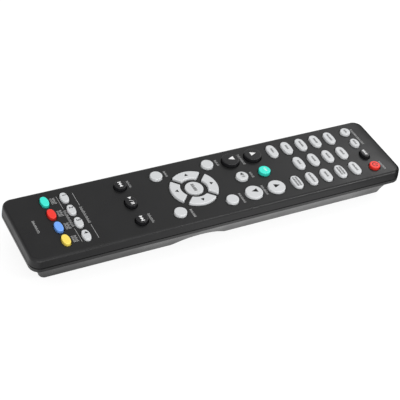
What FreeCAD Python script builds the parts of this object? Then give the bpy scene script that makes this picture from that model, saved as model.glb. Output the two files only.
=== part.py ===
import FreeCAD, Part
import math
import os
import Sketcher

# Remote control of an audio and video receiver, in millimetres. The origin is under the middle
# of the case, on the surface that it lies on. +X runs along the case to the infrared window,
# +Y is the left side for the user and +Z is up, so that the keys face upwards.

DRIVING_SIZES = {
    # case halves
    "case_length": 225.9,
    "case_width": 49.9,
    "case_draft": 5.0,
    "corner_radius": 5.9,
    "rim_radius": 1.6,
    "top_wall": 2.0,
    "side_wall": 1.8,
    "flange_floor": 1.4,
    "flange_edge_radius": 0.7,
    "groove_height": 0.6,
    "groove_depth": 0.6,
    "lip_height": 1.0,
    "lip_thickness": 0.9,
    "lip_clearance": 0.15,
    # humps of the bottom cover
    "hump_overhang": 1.3,
    "hump_hollow": 0.7,
    "hump_rear_inset": 3.95,
    "hump_rear_slope": 4.5,
    "hump_front_inset": 5.0,
    "hump_corner_radius": 3.0,
    "hump_edge_radius": 1.2,
    "hump_wall": 2.0,
    "rail_wall": 2.4,
    # finger recess between the humps
    "recess_height": 5.0,
    "recess_radius": 31.0,
    "recess_blend_radius": 15.0,
    "recess_offset": 37.7,
    # battery bay and door
    "cell_diameter": 10.5,
    "cell_length": 44.5,
    "cell_nub_diameter": 3.8,
    "cell_nub_length": 0.8,
    "cell_edge_radius": 0.6,
    "cell_gap": 0.5,
    "cell_clearance": 0.25,
    "bay_end_wall": 1.8,
    "bay_side_wall": 1.8,
    "bay_ceiling": 2.8,
    "door_thickness": 1.6,
    "door_floor_gap": 0.1,
    "door_clearance": 0.15,
    "door_overlap": 1.3,
    "door_rail_width": 0.9,
    "door_rail_thickness": 0.7,
    "door_edge_radius": 0.8,
    "door_rear_gap": 0.3,
    "door_tongue_length": 2.0,
    "door_tongue_width": 12.0,
    "grip_length": 9.0,
    "grip_width": 13.0,
    "grip_depth": 0.6,
    "grip_inset": 9.0,
    "grip_rib_width": 0.8,
    "grip_rib_pitch": 1.8,
    "grip_rib_count": 4,
    # battery contacts
    "plate_thickness": 0.4,
    "plate_width": 8.6,
    "plate_height": 8.4,
    "tab_width": 3.0,
    "tab_clearance": 0.3,
    "spring_length": 5.1,
    "spring_wire": 0.5,
    "spring_base_radius": 3.5,
    "spring_tip_radius": 2.2,
    "spring_turns": 4,
    # keypad mat and circuit board
    "board_thickness": 1.6,
    "board_side_gap": 0.25,
    "board_end_gap": 0.9,
    "board_front_inset": 8.6,
    "board_corner_radius": 2.0,
    "mat_thickness": 1.0,
    "mat_rear_gap": 0.6,
    "mat_front_gap": 2.0,
    "mat_hole_gap": 0.5,
    # what all keys share
    "key_travel": 1.0,
    "key_rest_gap": 0.15,
    "key_flange": 0.8,
    "key_skirt": 0.8,
    "key_clearance": 0.35,
    "key_draft": 3.0,
    "plunger_inset": 0.8,
    "plunger_gap": 0.02,
    # rows of keys, chained from the front end, and the rear rows from the rear end
    "zone_inset": 14.9,
    "zone_to_source": 12.39,
    "source_pitch": 9.71,
    "source_to_volume": 13.08,
    "volume_pitch": 14.34,
    "volume_to_ring": 29.9,
    "menu_row_offset": 15.78,
    "ring_to_transport": 37.84,
    "colour_inset": 21.68,
    "colour_to_quick": 11.1,
    # columns of keys, from the middle line
    "zone_pitch": 10.8,
    "source_column": 14.2,
    "volume_column": 14.08,
    "menu_column": 15.45,
    "transport_column": 14.05,
    "quick_pitch": 10.12,
    # sizes of each kind of key, and how far it stands above the face
    "zone_round_diameter": 6.4,
    "zone_round_rise": 1.4,
    "zone_oval_width": 5.3,
    "zone_oval_length": 7.4,
    "zone_oval_end": 2.3,
    "zone_oval_rise": 1.4,
    "zone_black_rise": 2.0,
    "power_diameter": 6.6,
    "power_rise": 1.6,
    "source_width": 5.85,
    "source_length": 10.4,
    "source_end": 2.65,
    "source_rise": 1.3,
    "channel_diameter": 10.2,
    "channel_rise": 2.2,
    "volume_diameter": 10.3,
    "volume_rise": 1.4,
    "setup_diameter": 7.1,
    "setup_rise": 1.9,
    "menu_diameter": 7.3,
    "menu_rise": 1.5,
    "enter_diameter": 10.6,
    "enter_rise": 0.8,
    "ring_outer_radius": 13.7,
    "ring_inner_radius": 7.6,
    "ring_gap": 2.6,
    "ring_corner_radius": 0.6,
    "ring_rise": 1.3,
    "transport_diameter": 7.0,
    "transport_rise": 2.1,
    "play_width": 6.4,
    "play_length": 8.4,
    "play_end": 2.9,
    "quick_width": 4.6,
    "quick_length": 7.8,
    "quick_end": 2.0,
    "quick_rise": 1.3,
    "colour_width": 4.7,
    "colour_length": 7.8,
    "colour_end": 2.0,
    "colour_rise": 1.5,
    "key_edge_radius": 0.5,
    # screws from the battery bay into the top cover
    "screw_diameter": 2.0,
    "screw_head_diameter": 4.0,
    "screw_head_height": 1.2,
    "screw_slot_width": 0.6,
    "screw_slot_length": 2.4,
    "screw_slot_depth": 0.7,
    "screw_from_quick": 6.0,
    "screw_column": 7.0,
    "screw_engagement": 3.0,
    "screw_clearance": 0.3,
    "thread_clearance": 0.02,
    "boss_diameter": 4.6,
    "boss_gap": 0.1,
    # infrared window and emitters
    "window_width": 22.0,
    "window_height": 2.7,
    "window_corner_radius": 0.8,
    "window_clearance": 0.08,
    "window_back": 0.7,
    "window_back_margin": 1.0,
    "emitter_diameter": 3.0,
    "emitter_length": 5.3,
    "emitter_flange_diameter": 3.8,
    "emitter_flange_length": 1.0,
    "emitter_column": 5.0,
    "emitter_nose_gap": 0.3,
    "emitter_lift": 0.9,
    "lead_width": 0.5,
    "lead_pitch": 2.54,
    "lead_reach": 1.2,
    # parts on the underside of the board, in the front hump
    "chip_offset": 36.0,
    "chip_length": 12.8,
    "chip_width": 7.5,
    "chip_height": 2.3,
    "chip_pin_count": 10,
    "chip_pin_pitch": 1.27,
    "chip_pin_width": 0.42,
    "chip_pin_reach": 1.4,
    "chip_pin_thickness": 0.3,
    "resonator_offset": 52.0,
    "resonator_length": 7.5,
    "resonator_width": 3.4,
    "resonator_height": 5.2,
    "capacitor_offset": 68.0,
    "capacitor_diameter": 5.0,
    "capacitor_length": 7.5,
}

doc = FreeCAD.newDocument("receiver_remote")
sheet = doc.addObject("Spreadsheet::Sheet", "size")
for row, (alias, number) in enumerate(DRIVING_SIZES.items(), start=1):
    sheet.set(f"A{row}", alias)
    sheet.set(f"B{row}", str(number))
    sheet.setAlias(f"B{row}", alias)
doc.recompute()


def value(formula):
    """The number that a formula of the sheet gives now, in millimetres."""
    return float(sheet.evalExpression(formula))


# Heights, from the floor up. Each rests on the one before it.
DOOR_TOP = "(size.door_floor_gap + size.door_thickness)"
CELL_AXIS = f"({DOOR_TOP} + 2 * size.cell_clearance + size.cell_diameter / 2)"
BAY_TOP = f"({CELL_AXIS} + size.cell_diameter / 2 + size.cell_clearance)"
BOARD_BOTTOM = f"({BAY_TOP} + size.bay_ceiling)"
FLANGE_BOTTOM = f"({BOARD_BOTTOM} - size.flange_floor)"
BOARD_TOP = f"({BOARD_BOTTOM} + size.board_thickness)"
PARTING = BOARD_TOP
NECK_BOTTOM = f"({PARTING} - size.groove_height)"
MAT_TOP = f"({BOARD_TOP} + size.mat_thickness)"
FLANGE_LOW = f"({MAT_TOP} + size.key_travel + size.key_rest_gap)"
FLANGE_HIGH = f"({FLANGE_LOW} + size.key_flange)"
INSIDE_TOP = f"({FLANGE_HIGH} + size.key_rest_gap)"
FACE = f"({INSIDE_TOP} + size.top_wall)"
PLUNGER_LOW = f"({BOARD_TOP} + size.key_travel + size.plunger_gap)"

# Places along the case. The front end and the rear end each carry their own chain.
FRONT = "(size.case_length / 2)"
REAR = "(-size.case_length / 2)"
ZONE_ROW = f"({FRONT} - size.zone_inset)"
SOURCE_ROW = f"({ZONE_ROW} - size.zone_to_source)"
VOLUME_ROW = f"({SOURCE_ROW} - 4 * size.source_pitch - size.source_to_volume)"
MUTE_ROW = f"({VOLUME_ROW} - size.volume_pitch)"
RING_ROW = f"({MUTE_ROW} - size.volume_to_ring)"
TRANSPORT_ROW = f"({RING_ROW} - size.ring_to_transport)"
COLOUR_ROW = f"({REAR} + size.colour_inset)"
QUICK_ROW = f"({COLOUR_ROW} + size.colour_to_quick)"
SCREW_ROW = f"({QUICK_ROW} + size.screw_from_quick)"

HUMP_REAR_ROOT = f"({REAR} + size.hump_rear_inset)"
HUMP_REAR_FLOOR = f"({HUMP_REAR_ROOT} + size.hump_rear_slope)"
HUMP_FRONT = f"({FRONT} - size.hump_front_inset)"
BAY_REAR = f"({HUMP_REAR_FLOOR} + size.bay_end_wall)"
BAY_LENGTH = "(2 * size.plate_thickness + size.spring_length + size.cell_length)"
BAY_FRONT = f"({BAY_REAR} + {BAY_LENGTH})"
BAY_BLOCK_FRONT = f"({BAY_FRONT} + size.bay_end_wall)"
RECESS_MIDDLE = f"({BAY_BLOCK_FRONT} + size.recess_offset)"

# Distances across the case, from the middle line.
CASE_SIDE = "(size.case_width / 2)"
HUMP_ROOT_SIDE = f"({CASE_SIDE} - size.hump_overhang)"
CELL_COLUMN = "((size.cell_diameter + size.cell_gap) / 2)"
BAY_SIDE = f"({CELL_COLUMN} + size.cell_diameter / 2 + size.cell_clearance)"
DOOR_SIDE = f"({BAY_SIDE} + size.door_overlap)"
DOOR_RAIL_SIDE = f"({DOOR_SIDE} + size.door_rail_width)"
HUMP_FLOOR_SIDE = f"({DOOR_RAIL_SIDE} + size.door_clearance + size.rail_wall)"
LIP_OUTSET = "(size.side_wall + size.lip_clearance)"
WELL_OUTSET = f"({LIP_OUTSET} + size.lip_thickness)"
BOARD_OUTSET = f"({WELL_OUTSET} + size.board_side_gap)"

# How far a cut runs past the surface that it opens.
CUT_PAST = 1.0

UPRIGHT = FreeCAD.Vector(0, 0, 1)

NODES = []


def new_body(name, whole=True):
    """Starts the solid of one named piece, or of a blank that a later cut makes whole."""
    body = doc.addObject("PartDesign::Body", name)
    body.Label = name
    if whole:
        NODES.append(body)
    return body


def turned(degrees):
    """A placement turned about the upright axis."""
    return FreeCAD.Placement(FreeCAD.Vector(), FreeCAD.Rotation(UPRIGHT, degrees))


def sketch_on(body, role="XY_Plane", x="0", y="0", z="0", turn=0.0):
    """A sketch on a plane of its own body, moved by x, y and z in the sketch's own axes."""
    sketch = body.newObject("Sketcher::SketchObject", "sketch")
    plane = [entry for entry in body.Origin.OriginFeatures if entry.Role == role][0]
    sketch.AttachmentSupport = [(plane, "")]
    sketch.MapMode = "FlatFace"
    sketch.AttachmentOffset = turned(turn)
    for axis, formula in (("x", x), ("y", y), ("z", z)):
        if formula != "0":
            sketch.setExpression(f".AttachmentOffset.Base.{axis}", formula)
    return sketch


def size_constraint(sketch, name, formula, kind, *places):
    """Adds one dimension to a sketch and binds it to a formula of the sheet."""
    index = sketch.addConstraint(Sketcher.Constraint(kind, *places, value(formula)))
    sketch.renameConstraint(index, name)
    sketch.setExpression(f"Constraints.{name}", formula)


def vector(x, y):
    return FreeCAD.Vector(x, y, 0)


def arc(centre_x, centre_y, radius, start, end):
    """An arc in a sketch, from one angle to another, in degrees."""
    circle = Part.Circle(vector(centre_x, centre_y), UPRIGHT, radius)
    return Part.ArcOfCircle(circle, math.radians(start), math.radians(end))


def draw_circle(sketch, diameter):
    circle = Part.Circle(FreeCAD.Vector(), UPRIGHT, value(diameter) / 2)
    index = sketch.addGeometry(circle, False)
    sketch.addConstraint(Sketcher.Constraint("Coincident", index, 3, -1, 1))
    size_constraint(sketch, "diameter", diameter, "Diameter", index)


def draw_rectangle(sketch, length, width, radius):
    """A rectangle with rounded corners, centred on the sketch's origin."""
    half_x, half_y, bend = value(length) / 2, value(width) / 2, value(radius)
    inner_x, inner_y = half_x - bend, half_y - bend
    sketch.addGeometry([
        Part.LineSegment(vector(-inner_x, -half_y), vector(inner_x, -half_y)),
        Part.LineSegment(vector(half_x, -inner_y), vector(half_x, inner_y)),
        Part.LineSegment(vector(inner_x, half_y), vector(-inner_x, half_y)),
        Part.LineSegment(vector(-half_x, inner_y), vector(-half_x, -inner_y)),
        arc(inner_x, -inner_y, bend, 270, 360),
        arc(inner_x, inner_y, bend, 0, 90),
        arc(-inner_x, inner_y, bend, 90, 180),
        arc(-inner_x, -inner_y, bend, 180, 270),
    ], False)
    for line, corner in enumerate((4, 5, 6, 7)):
        sketch.addConstraint(Sketcher.Constraint("Tangent", line, 2, corner, 1))
        sketch.addConstraint(Sketcher.Constraint("Tangent", corner, 2, (line + 1) % 4, 1))
    for kind, line in (("Horizontal", 0), ("Vertical", 1), ("Horizontal", 2), ("Vertical", 3)):
        sketch.addConstraint(Sketcher.Constraint(kind, line))
    for corner in (5, 6, 7):
        sketch.addConstraint(Sketcher.Constraint("Equal", 4, corner))
    sketch.addConstraint(Sketcher.Constraint("Symmetric", 4, 3, 6, 3, -1, 1))
    size_constraint(sketch, "radius", radius, "Radius", 4)
    size_constraint(sketch, "span_x", length, "DistanceX", 3, 1, 1, 1)
    size_constraint(sketch, "span_y", width, "DistanceY", 0, 1, 2, 2)


def draw_oval(sketch, width, length, end_radius):
    """A long oval of two end arcs and two flatter side arcs. It is length long in Y."""
    half_x, half_y, end = value(width) / 2, value(length) / 2, value(end_radius)
    end_y = half_y - end
    side = (half_x ** 2 + end_y ** 2 - end ** 2) / (2 * (half_x - end))
    side_x = side - half_x
    lean = math.degrees(math.atan2(end_y, side_x))
    sketch.addGeometry([
        arc(0, end_y, end, lean, 180 - lean),
        arc(side_x, 0, side, 180 - lean, 180 + lean),
        arc(0, -end_y, end, 180 + lean, 360 - lean),
        arc(-side_x, 0, side, -lean, lean),
    ], False)
    for before, after in ((0, 1), (1, 2), (2, 3), (3, 0)):
        sketch.addConstraint(Sketcher.Constraint("Tangent", before, 2, after, 1))
    sketch.addConstraint(Sketcher.Constraint("PointOnObject", 0, 3, -2))
    sketch.addConstraint(Sketcher.Constraint("Symmetric", 0, 3, 2, 3, -1, 1))
    sketch.addConstraint(Sketcher.Constraint("Equal", 0, 2))
    sketch.addConstraint(Sketcher.Constraint("Equal", 1, 3))
    widest = sketch.addGeometry(Part.Point(FreeCAD.Vector(half_x, 0, 0)), True)
    sketch.addConstraint(Sketcher.Constraint("PointOnObject", widest, 1, -1))
    sketch.addConstraint(Sketcher.Constraint("PointOnObject", widest, 1, 3))
    size_constraint(sketch, "end_radius", end_radius, "Radius", 0)
    size_constraint(sketch, "end_centre", f"{length} / 2 - {end_radius}", "DistanceY", -1, 1, 0, 3)
    size_constraint(sketch, "half_width", f"{width} / 2", "DistanceX", -1, 1, widest, 1)


def draw_sector(sketch, outer_radius, inner_radius, gap):
    """One quarter of a ring about the sketch's origin, less half a gap at each side."""
    outer, inner, half_gap = value(outer_radius), value(inner_radius), value(gap) / 2
    outer_lean = 45 - math.degrees(math.asin(half_gap / outer))
    inner_lean = 45 - math.degrees(math.asin(half_gap / inner))

    def corner(radius, lean):
        return vector(radius * math.cos(math.radians(lean)), radius * math.sin(math.radians(lean)))

    sketch.addGeometry([
        arc(0, 0, outer, -outer_lean, outer_lean),
        Part.LineSegment(corner(outer, outer_lean), corner(inner, inner_lean)),
        arc(0, 0, inner, -inner_lean, inner_lean),
        Part.LineSegment(corner(inner, -inner_lean), corner(outer, -outer_lean)),
    ], False)
    for first, first_end, second, second_end in ((0, 2, 1, 1), (1, 2, 2, 2), (2, 1, 3, 1), (3, 2, 0, 1)):
        sketch.addConstraint(Sketcher.Constraint("Coincident", first, first_end, second, second_end))
    for ring in (0, 2):
        sketch.addConstraint(Sketcher.Constraint("Coincident", ring, 3, -1, 1))
    size_constraint(sketch, "outer_radius", outer_radius, "Radius", 0)
    size_constraint(sketch, "inner_radius", inner_radius, "Radius", 2)
    size_constraint(sketch, "upper_gap", f"{gap} / 2", "Distance", -1, 1, 1)
    size_constraint(sketch, "lower_gap", f"{gap} / 2", "Distance", -1, 1, 3)
    sketch.addConstraint(Sketcher.Constraint("Angle", -1, 1, 1, 2, math.radians(45)))
    sketch.addConstraint(Sketcher.Constraint("Perpendicular", 1, 3))


def pad(body, sketch, length, draft=None, downwards=False, both_ways=False):
    """Adds the sketch's outline as a block. A draft narrows it as it grows."""
    feature = body.newObject("PartDesign::Pad", "pad")
    feature.Profile = sketch
    feature.Reversed = downwards
    if both_ways:
        feature.SideType = "Symmetric"
    feature.setExpression("Length", length)
    if draft:
        feature.setExpression("TaperAngle", f"-{draft}")
    return feature


def pocket(body, sketch, depth=None, upwards=False, both_ways=False):
    """Cuts the sketch's outline out, through everything where no depth is given."""
    feature = body.newObject("PartDesign::Pocket", "pocket")
    feature.Profile = sketch
    feature.Reversed = upwards
    if both_ways:
        feature.SideType = "Symmetric"
    if depth:
        feature.setExpression("Length", depth)
    else:
        feature.Type = "ThroughAll"
    return feature


def loft(body, kind, sections, ruled=True):
    """Joins outlines, with straight lines between them or in one smooth curve."""
    feature = body.newObject(kind, "loft")
    feature.Profile = sections[0]
    feature.Sections = sections[1:]
    feature.Ruled = ruled
    return feature


def round_edges(body, radius, wanted):
    """Fillets those edges of the body's last feature that the test picks."""
    doc.recompute()
    base = body.Tip
    names = [f"Edge{number}" for number, edge in enumerate(base.Shape.Edges, start=1) if wanted(edge)]
    feature = body.newObject("PartDesign::Fillet", "fillet")
    feature.Base = (base, names)
    feature.setExpression("Radius", radius)
    return feature


def level_edge(edge, height):
    """True for an edge that lies at one height all along."""
    box = edge.BoundBox
    return abs(box.ZMin - height) < 1e-4 and abs(box.ZMax - height) < 1e-4


# The kinds of key. Each gives its outline, grown by a formula, and its height above the face.
def round_outline(diameter):
    def draw(sketch, grow):
        draw_circle(sketch, f"{diameter} + 2 * {grow}")
    return draw


def oval_outline(width, length, end_radius):
    def draw(sketch, grow):
        draw_oval(sketch, f"({width} + 2 * {grow})", f"({length} + 2 * {grow})", f"({end_radius} + {grow})")
    return draw


def sector_outline(sketch, grow):
    draw_sector(sketch, f"size.ring_outer_radius + {grow}", f"size.ring_inner_radius - {grow}",
                f"(size.ring_gap - 2 * {grow})")


ZONE_OVAL = oval_outline("size.zone_oval_width", "size.zone_oval_length", "size.zone_oval_end")
SOURCE_OVAL = oval_outline("size.source_width", "size.source_length", "size.source_end")
QUICK_OVAL = oval_outline("size.quick_width", "size.quick_length", "size.quick_end")
COLOUR_OVAL = oval_outline("size.colour_width", "size.colour_length", "size.colour_end")
PLAY_OVAL = oval_outline("size.play_width", "size.play_length", "size.play_end")
MENU_ROUND = round_outline("size.menu_diameter")
TRANSPORT_ROUND = round_outline("size.transport_diameter")

# Every key: name, outline, height above the face, place along and across the case, turn.
KEYS = [
    ("zone_key_main", round_outline("size.zone_round_diameter"), "size.zone_round_rise",
     ZONE_ROW, "1.5 * size.zone_pitch", 0),
    ("zone_key_second", ZONE_OVAL, "size.zone_oval_rise", ZONE_ROW, "0.5 * size.zone_pitch", 0),
    ("sleep_key", ZONE_OVAL, "size.zone_black_rise", ZONE_ROW, "-0.5 * size.zone_pitch", 0),
    ("power_key", round_outline("size.power_diameter"), "size.power_rise",
     ZONE_ROW, "-1.5 * size.zone_pitch", 0),
    ("channel_up_key", round_outline("size.channel_diameter"), "size.channel_rise",
     VOLUME_ROW, "size.volume_column", 0),
    ("channel_down_key", round_outline("size.channel_diameter"), "size.channel_rise",
     MUTE_ROW, "size.volume_column", 0),
    ("volume_up_key", round_outline("size.volume_diameter"), "size.volume_rise",
     VOLUME_ROW, "-size.volume_column", 0),
    ("volume_down_key", round_outline("size.volume_diameter"), "size.volume_rise",
     MUTE_ROW, "-size.volume_column", 0),
    ("green_mode_key", round_outline("size.setup_diameter"), "size.setup_rise", VOLUME_ROW, "0", 0),
    ("mute_key", MENU_ROUND, "size.menu_rise", MUTE_ROW, "0", 0),
    ("info_key", MENU_ROUND, "size.menu_rise",
     f"{RING_ROW} + size.menu_row_offset", "size.menu_column", 0),
    ("option_key", MENU_ROUND, "size.menu_rise",
     f"{RING_ROW} + size.menu_row_offset", "-size.menu_column", 0),
    ("back_key", MENU_ROUND, "size.menu_rise",
     f"{RING_ROW} - size.menu_row_offset", "size.menu_column", 0),
    ("setup_key", MENU_ROUND, "size.menu_rise",
     f"{RING_ROW} - size.menu_row_offset", "-size.menu_column", 0),
    ("enter_key", round_outline("size.enter_diameter"), "size.enter_rise", RING_ROW, "0", 0),
    ("cursor_up_key", sector_outline, "size.ring_rise", RING_ROW, "0", 0),
    ("cursor_left_key", sector_outline, "size.ring_rise", RING_ROW, "0", 90),
    ("cursor_down_key", sector_outline, "size.ring_rise", RING_ROW, "0", 180),
    ("cursor_right_key", sector_outline, "size.ring_rise", RING_ROW, "0", 270),
    ("previous_key", TRANSPORT_ROUND, "size.transport_rise", TRANSPORT_ROW, "size.transport_column", 0),
    ("play_key", PLAY_OVAL, "size.transport_rise", TRANSPORT_ROW, "0", 0),
    ("next_key", TRANSPORT_ROUND, "size.transport_rise", TRANSPORT_ROW, "-size.transport_column", 0),
]
for side, column, count in (("left", 1, 5), ("middle", 0, 4), ("right", -1, 5)):
    for step in range(count):
        KEYS.append((f"source_key_{side}_{step + 1}", SOURCE_OVAL, "size.source_rise",
                     f"{SOURCE_ROW} - {step} * size.source_pitch", f"{column} * size.source_column", 0))
for step, colour in enumerate(("green", "red", "blue", "yellow")):
    across = f"{1.5 - step} * size.quick_pitch"
    KEYS.append((f"quick_key_{step + 1}", QUICK_OVAL, "size.quick_rise", QUICK_ROW, across, 0))
    KEYS.append((f"{colour}_key", COLOUR_OVAL, "size.colour_rise", COLOUR_ROW, across, 0))


def make_key(name, outline, rise, x, y, turn):
    """A key cap with draft and a rounded top, its retaining flange and its plunger."""
    body = new_body(name)
    cap = sketch_on(body, z=FLANGE_HIGH)
    outline(cap, "0")
    pad(body, cap, f"{FACE} + {rise} - {FLANGE_HIGH}", draft="size.key_draft")
    if outline is sector_outline:
        round_edges(body, "size.ring_corner_radius",
                    lambda edge: edge.BoundBox.ZMax - edge.BoundBox.ZMin > value("size.key_flange"))
    top = value(f"{FACE} + {rise}")
    round_edges(body, "size.key_edge_radius", lambda edge: level_edge(edge, top))
    flange = sketch_on(body, z=FLANGE_LOW)
    outline(flange, "size.key_skirt")
    pad(body, flange, "size.key_flange")
    plunger = sketch_on(body, z=PLUNGER_LOW)
    outline(plunger, "(-size.plunger_inset)")
    pad(body, plunger, f"{FLANGE_LOW} - {PLUNGER_LOW}")
    body.Placement = turned(turn)
    body.setExpression(".Placement.Base.x", x)
    body.setExpression(".Placement.Base.y", y)


def cut_key_openings(blank, name, grow, low, height):
    """Cuts the outline of every key, grown by a clearance, through a flat blank."""
    tools = []
    for key, outline, rise, x, y, turn in KEYS:
        sketch = doc.addObject("Sketcher::SketchObject", f"{name}_{key}_outline")
        sketch.Placement = turned(turn)
        for axis, formula in (("x", x), ("y", y), ("z", low)):
            sketch.setExpression(f".Placement.Base.{axis}", formula)
        outline(sketch, grow)
        tool = doc.addObject("Part::Extrusion", f"{name}_{key}_tool")
        tool.Base = sketch
        tool.DirMode = "Normal"
        tool.Solid = True
        tool.setExpression("LengthFwd", height)
        tools.append(tool)
    openings = doc.addObject("Part::Compound", f"{name}_openings")
    openings.Links = tools
    piece = doc.addObject("Part::Cut", name)
    piece.Label = name
    piece.Base = blank
    piece.Tool = openings
    NODES.append(piece)


def make_top_cover():
    """The upper shell: a tray, upside down, whose walls lean in, with an opening for each key."""
    body = new_body("top_cover_blank", whole=False)
    outside = sketch_on(body, z=PARTING)
    draw_rectangle(outside, "size.case_length", "size.case_width", "size.corner_radius")
    pad(body, outside, f"{FACE} - {PARTING}", draft="size.case_draft")
    round_edges(body, "size.rim_radius", lambda edge: level_edge(edge, value(FACE)))
    inside = sketch_on(body, z=PARTING)
    draw_rectangle(inside, "size.case_length - 2 * size.side_wall", "size.case_width - 2 * size.side_wall",
                   "size.corner_radius - size.side_wall")
    pocket(body, inside, f"{INSIDE_TOP} - {PARTING}", upwards=True)
    for side in (1, -1):
        boss_low = f"{BOARD_TOP} + size.boss_gap"
        boss = sketch_on(body, x=SCREW_ROW, y=f"{side} * size.screw_column", z=boss_low)
        draw_circle(boss, "size.boss_diameter")
        pad(body, boss, f"{INSIDE_TOP} - {boss_low}")
        pilot = sketch_on(body, x=SCREW_ROW, y=f"{side} * size.screw_column", z=boss_low)
        draw_circle(pilot, "size.screw_diameter + 2 * size.thread_clearance")
        pocket(body, pilot, "size.screw_engagement", upwards=True)
    notch = sketch_on(body, role="YZ_Plane", y=f"{PARTING} + size.window_height / 2", z=FRONT)
    draw_rectangle(notch, "size.window_width", "size.window_height", "size.window_corner_radius")
    pocket(body, notch, "size.side_wall")
    cut_key_openings(body, "top_cover", "size.key_clearance", INSIDE_TOP, "size.top_wall")


def hump_side(height):
    """Half the width of the humps at one height above the floor. Their sides are a little hollow."""
    share = f"({height} / {FLANGE_BOTTOM})"
    straight = f"{HUMP_FLOOR_SIDE} + ({HUMP_ROOT_SIDE} - {HUMP_FLOOR_SIDE}) * {share}"
    return f"({straight} - 4 * size.hump_hollow * {share} * (1 - {share}))"


def hump_section(body, height):
    """An outline of the humps at one height. The front end is upright and the rear end slopes."""
    rear = f"({HUMP_REAR_FLOOR} - size.hump_rear_slope * {height} / {FLANGE_BOTTOM})"
    sketch = sketch_on(body, x=f"({rear} + {HUMP_FRONT}) / 2", z=height)
    draw_rectangle(sketch, f"{HUMP_FRONT} - {rear}", f"2 * {hump_side(height)}", "size.hump_corner_radius")
    return sketch


def cavity(body, rear, front, low, high):
    """A hollow in the humps between two places and two heights, one wall in from their sides."""
    sections = []
    for height in (low, high):
        sketch = sketch_on(body, x=f"({rear} + {front}) / 2", z=height)
        draw_rectangle(sketch, f"{front} - {rear}", f"2 * ({hump_side(height)} - size.hump_wall)",
                       "size.hump_corner_radius / 2")
        sections.append(sketch)
    loft(body, "PartDesign::SubtractiveLoft", sections)


def draw_recess(sketch):
    """The side view of the finger recess: an arch with a crisp front foot and a blended rear one."""
    height = value("size.recess_height")
    radius = value("size.recess_radius")
    blend = value("size.recess_blend_radius")
    arch_y = height - radius
    foot_x = math.sqrt(radius ** 2 - arch_y ** 2)
    blend_x = -math.sqrt((radius + blend) ** 2 - (blend - arch_y) ** 2)
    lean = math.degrees(math.atan2(blend - arch_y, blend_x))
    foot_lean = math.degrees(math.atan2(-arch_y, foot_x))
    sketch.addGeometry([
        arc(0, arch_y, radius, foot_lean, lean),
        arc(blend_x, blend, blend, 270, 180 + lean),
        Part.LineSegment(vector(blend_x, 0), vector(blend_x, -CUT_PAST)),
        Part.LineSegment(vector(blend_x, -CUT_PAST), vector(foot_x, -CUT_PAST)),
        Part.LineSegment(vector(foot_x, -CUT_PAST), vector(foot_x, 0)),
    ], False)
    sketch.addConstraint(Sketcher.Constraint("Tangent", 0, 2, 1, 2))
    for first, first_end, second, second_end in ((1, 1, 2, 1), (2, 2, 3, 1), (3, 2, 4, 1), (4, 2, 0, 1)):
        sketch.addConstraint(Sketcher.Constraint("Coincident", first, first_end, second, second_end))
    sketch.addConstraint(Sketcher.Constraint("PointOnObject", 0, 3, -2))
    sketch.addConstraint(Sketcher.Constraint("Vertical", 1, 3, 1, 1))
    sketch.addConstraint(Sketcher.Constraint("PointOnObject", 1, 1, -1))
    sketch.addConstraint(Sketcher.Constraint("PointOnObject", 0, 1, -1))
    sketch.addConstraint(Sketcher.Constraint("Vertical", 2))
    sketch.addConstraint(Sketcher.Constraint("Horizontal", 3))
    sketch.addConstraint(Sketcher.Constraint("Vertical", 4))
    size_constraint(sketch, "arch_radius", "size.recess_radius", "Radius", 0)
    size_constraint(sketch, "blend_radius", "size.recess_blend_radius", "Radius", 1)
    size_constraint(sketch, "arch_depth", "size.recess_radius - size.recess_height", "DistanceY",
                    0, 3, -1, 1)
    sketch.addConstraint(Sketcher.Constraint("DistanceY", 2, 2, 2, 1, CUT_PAST))


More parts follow.
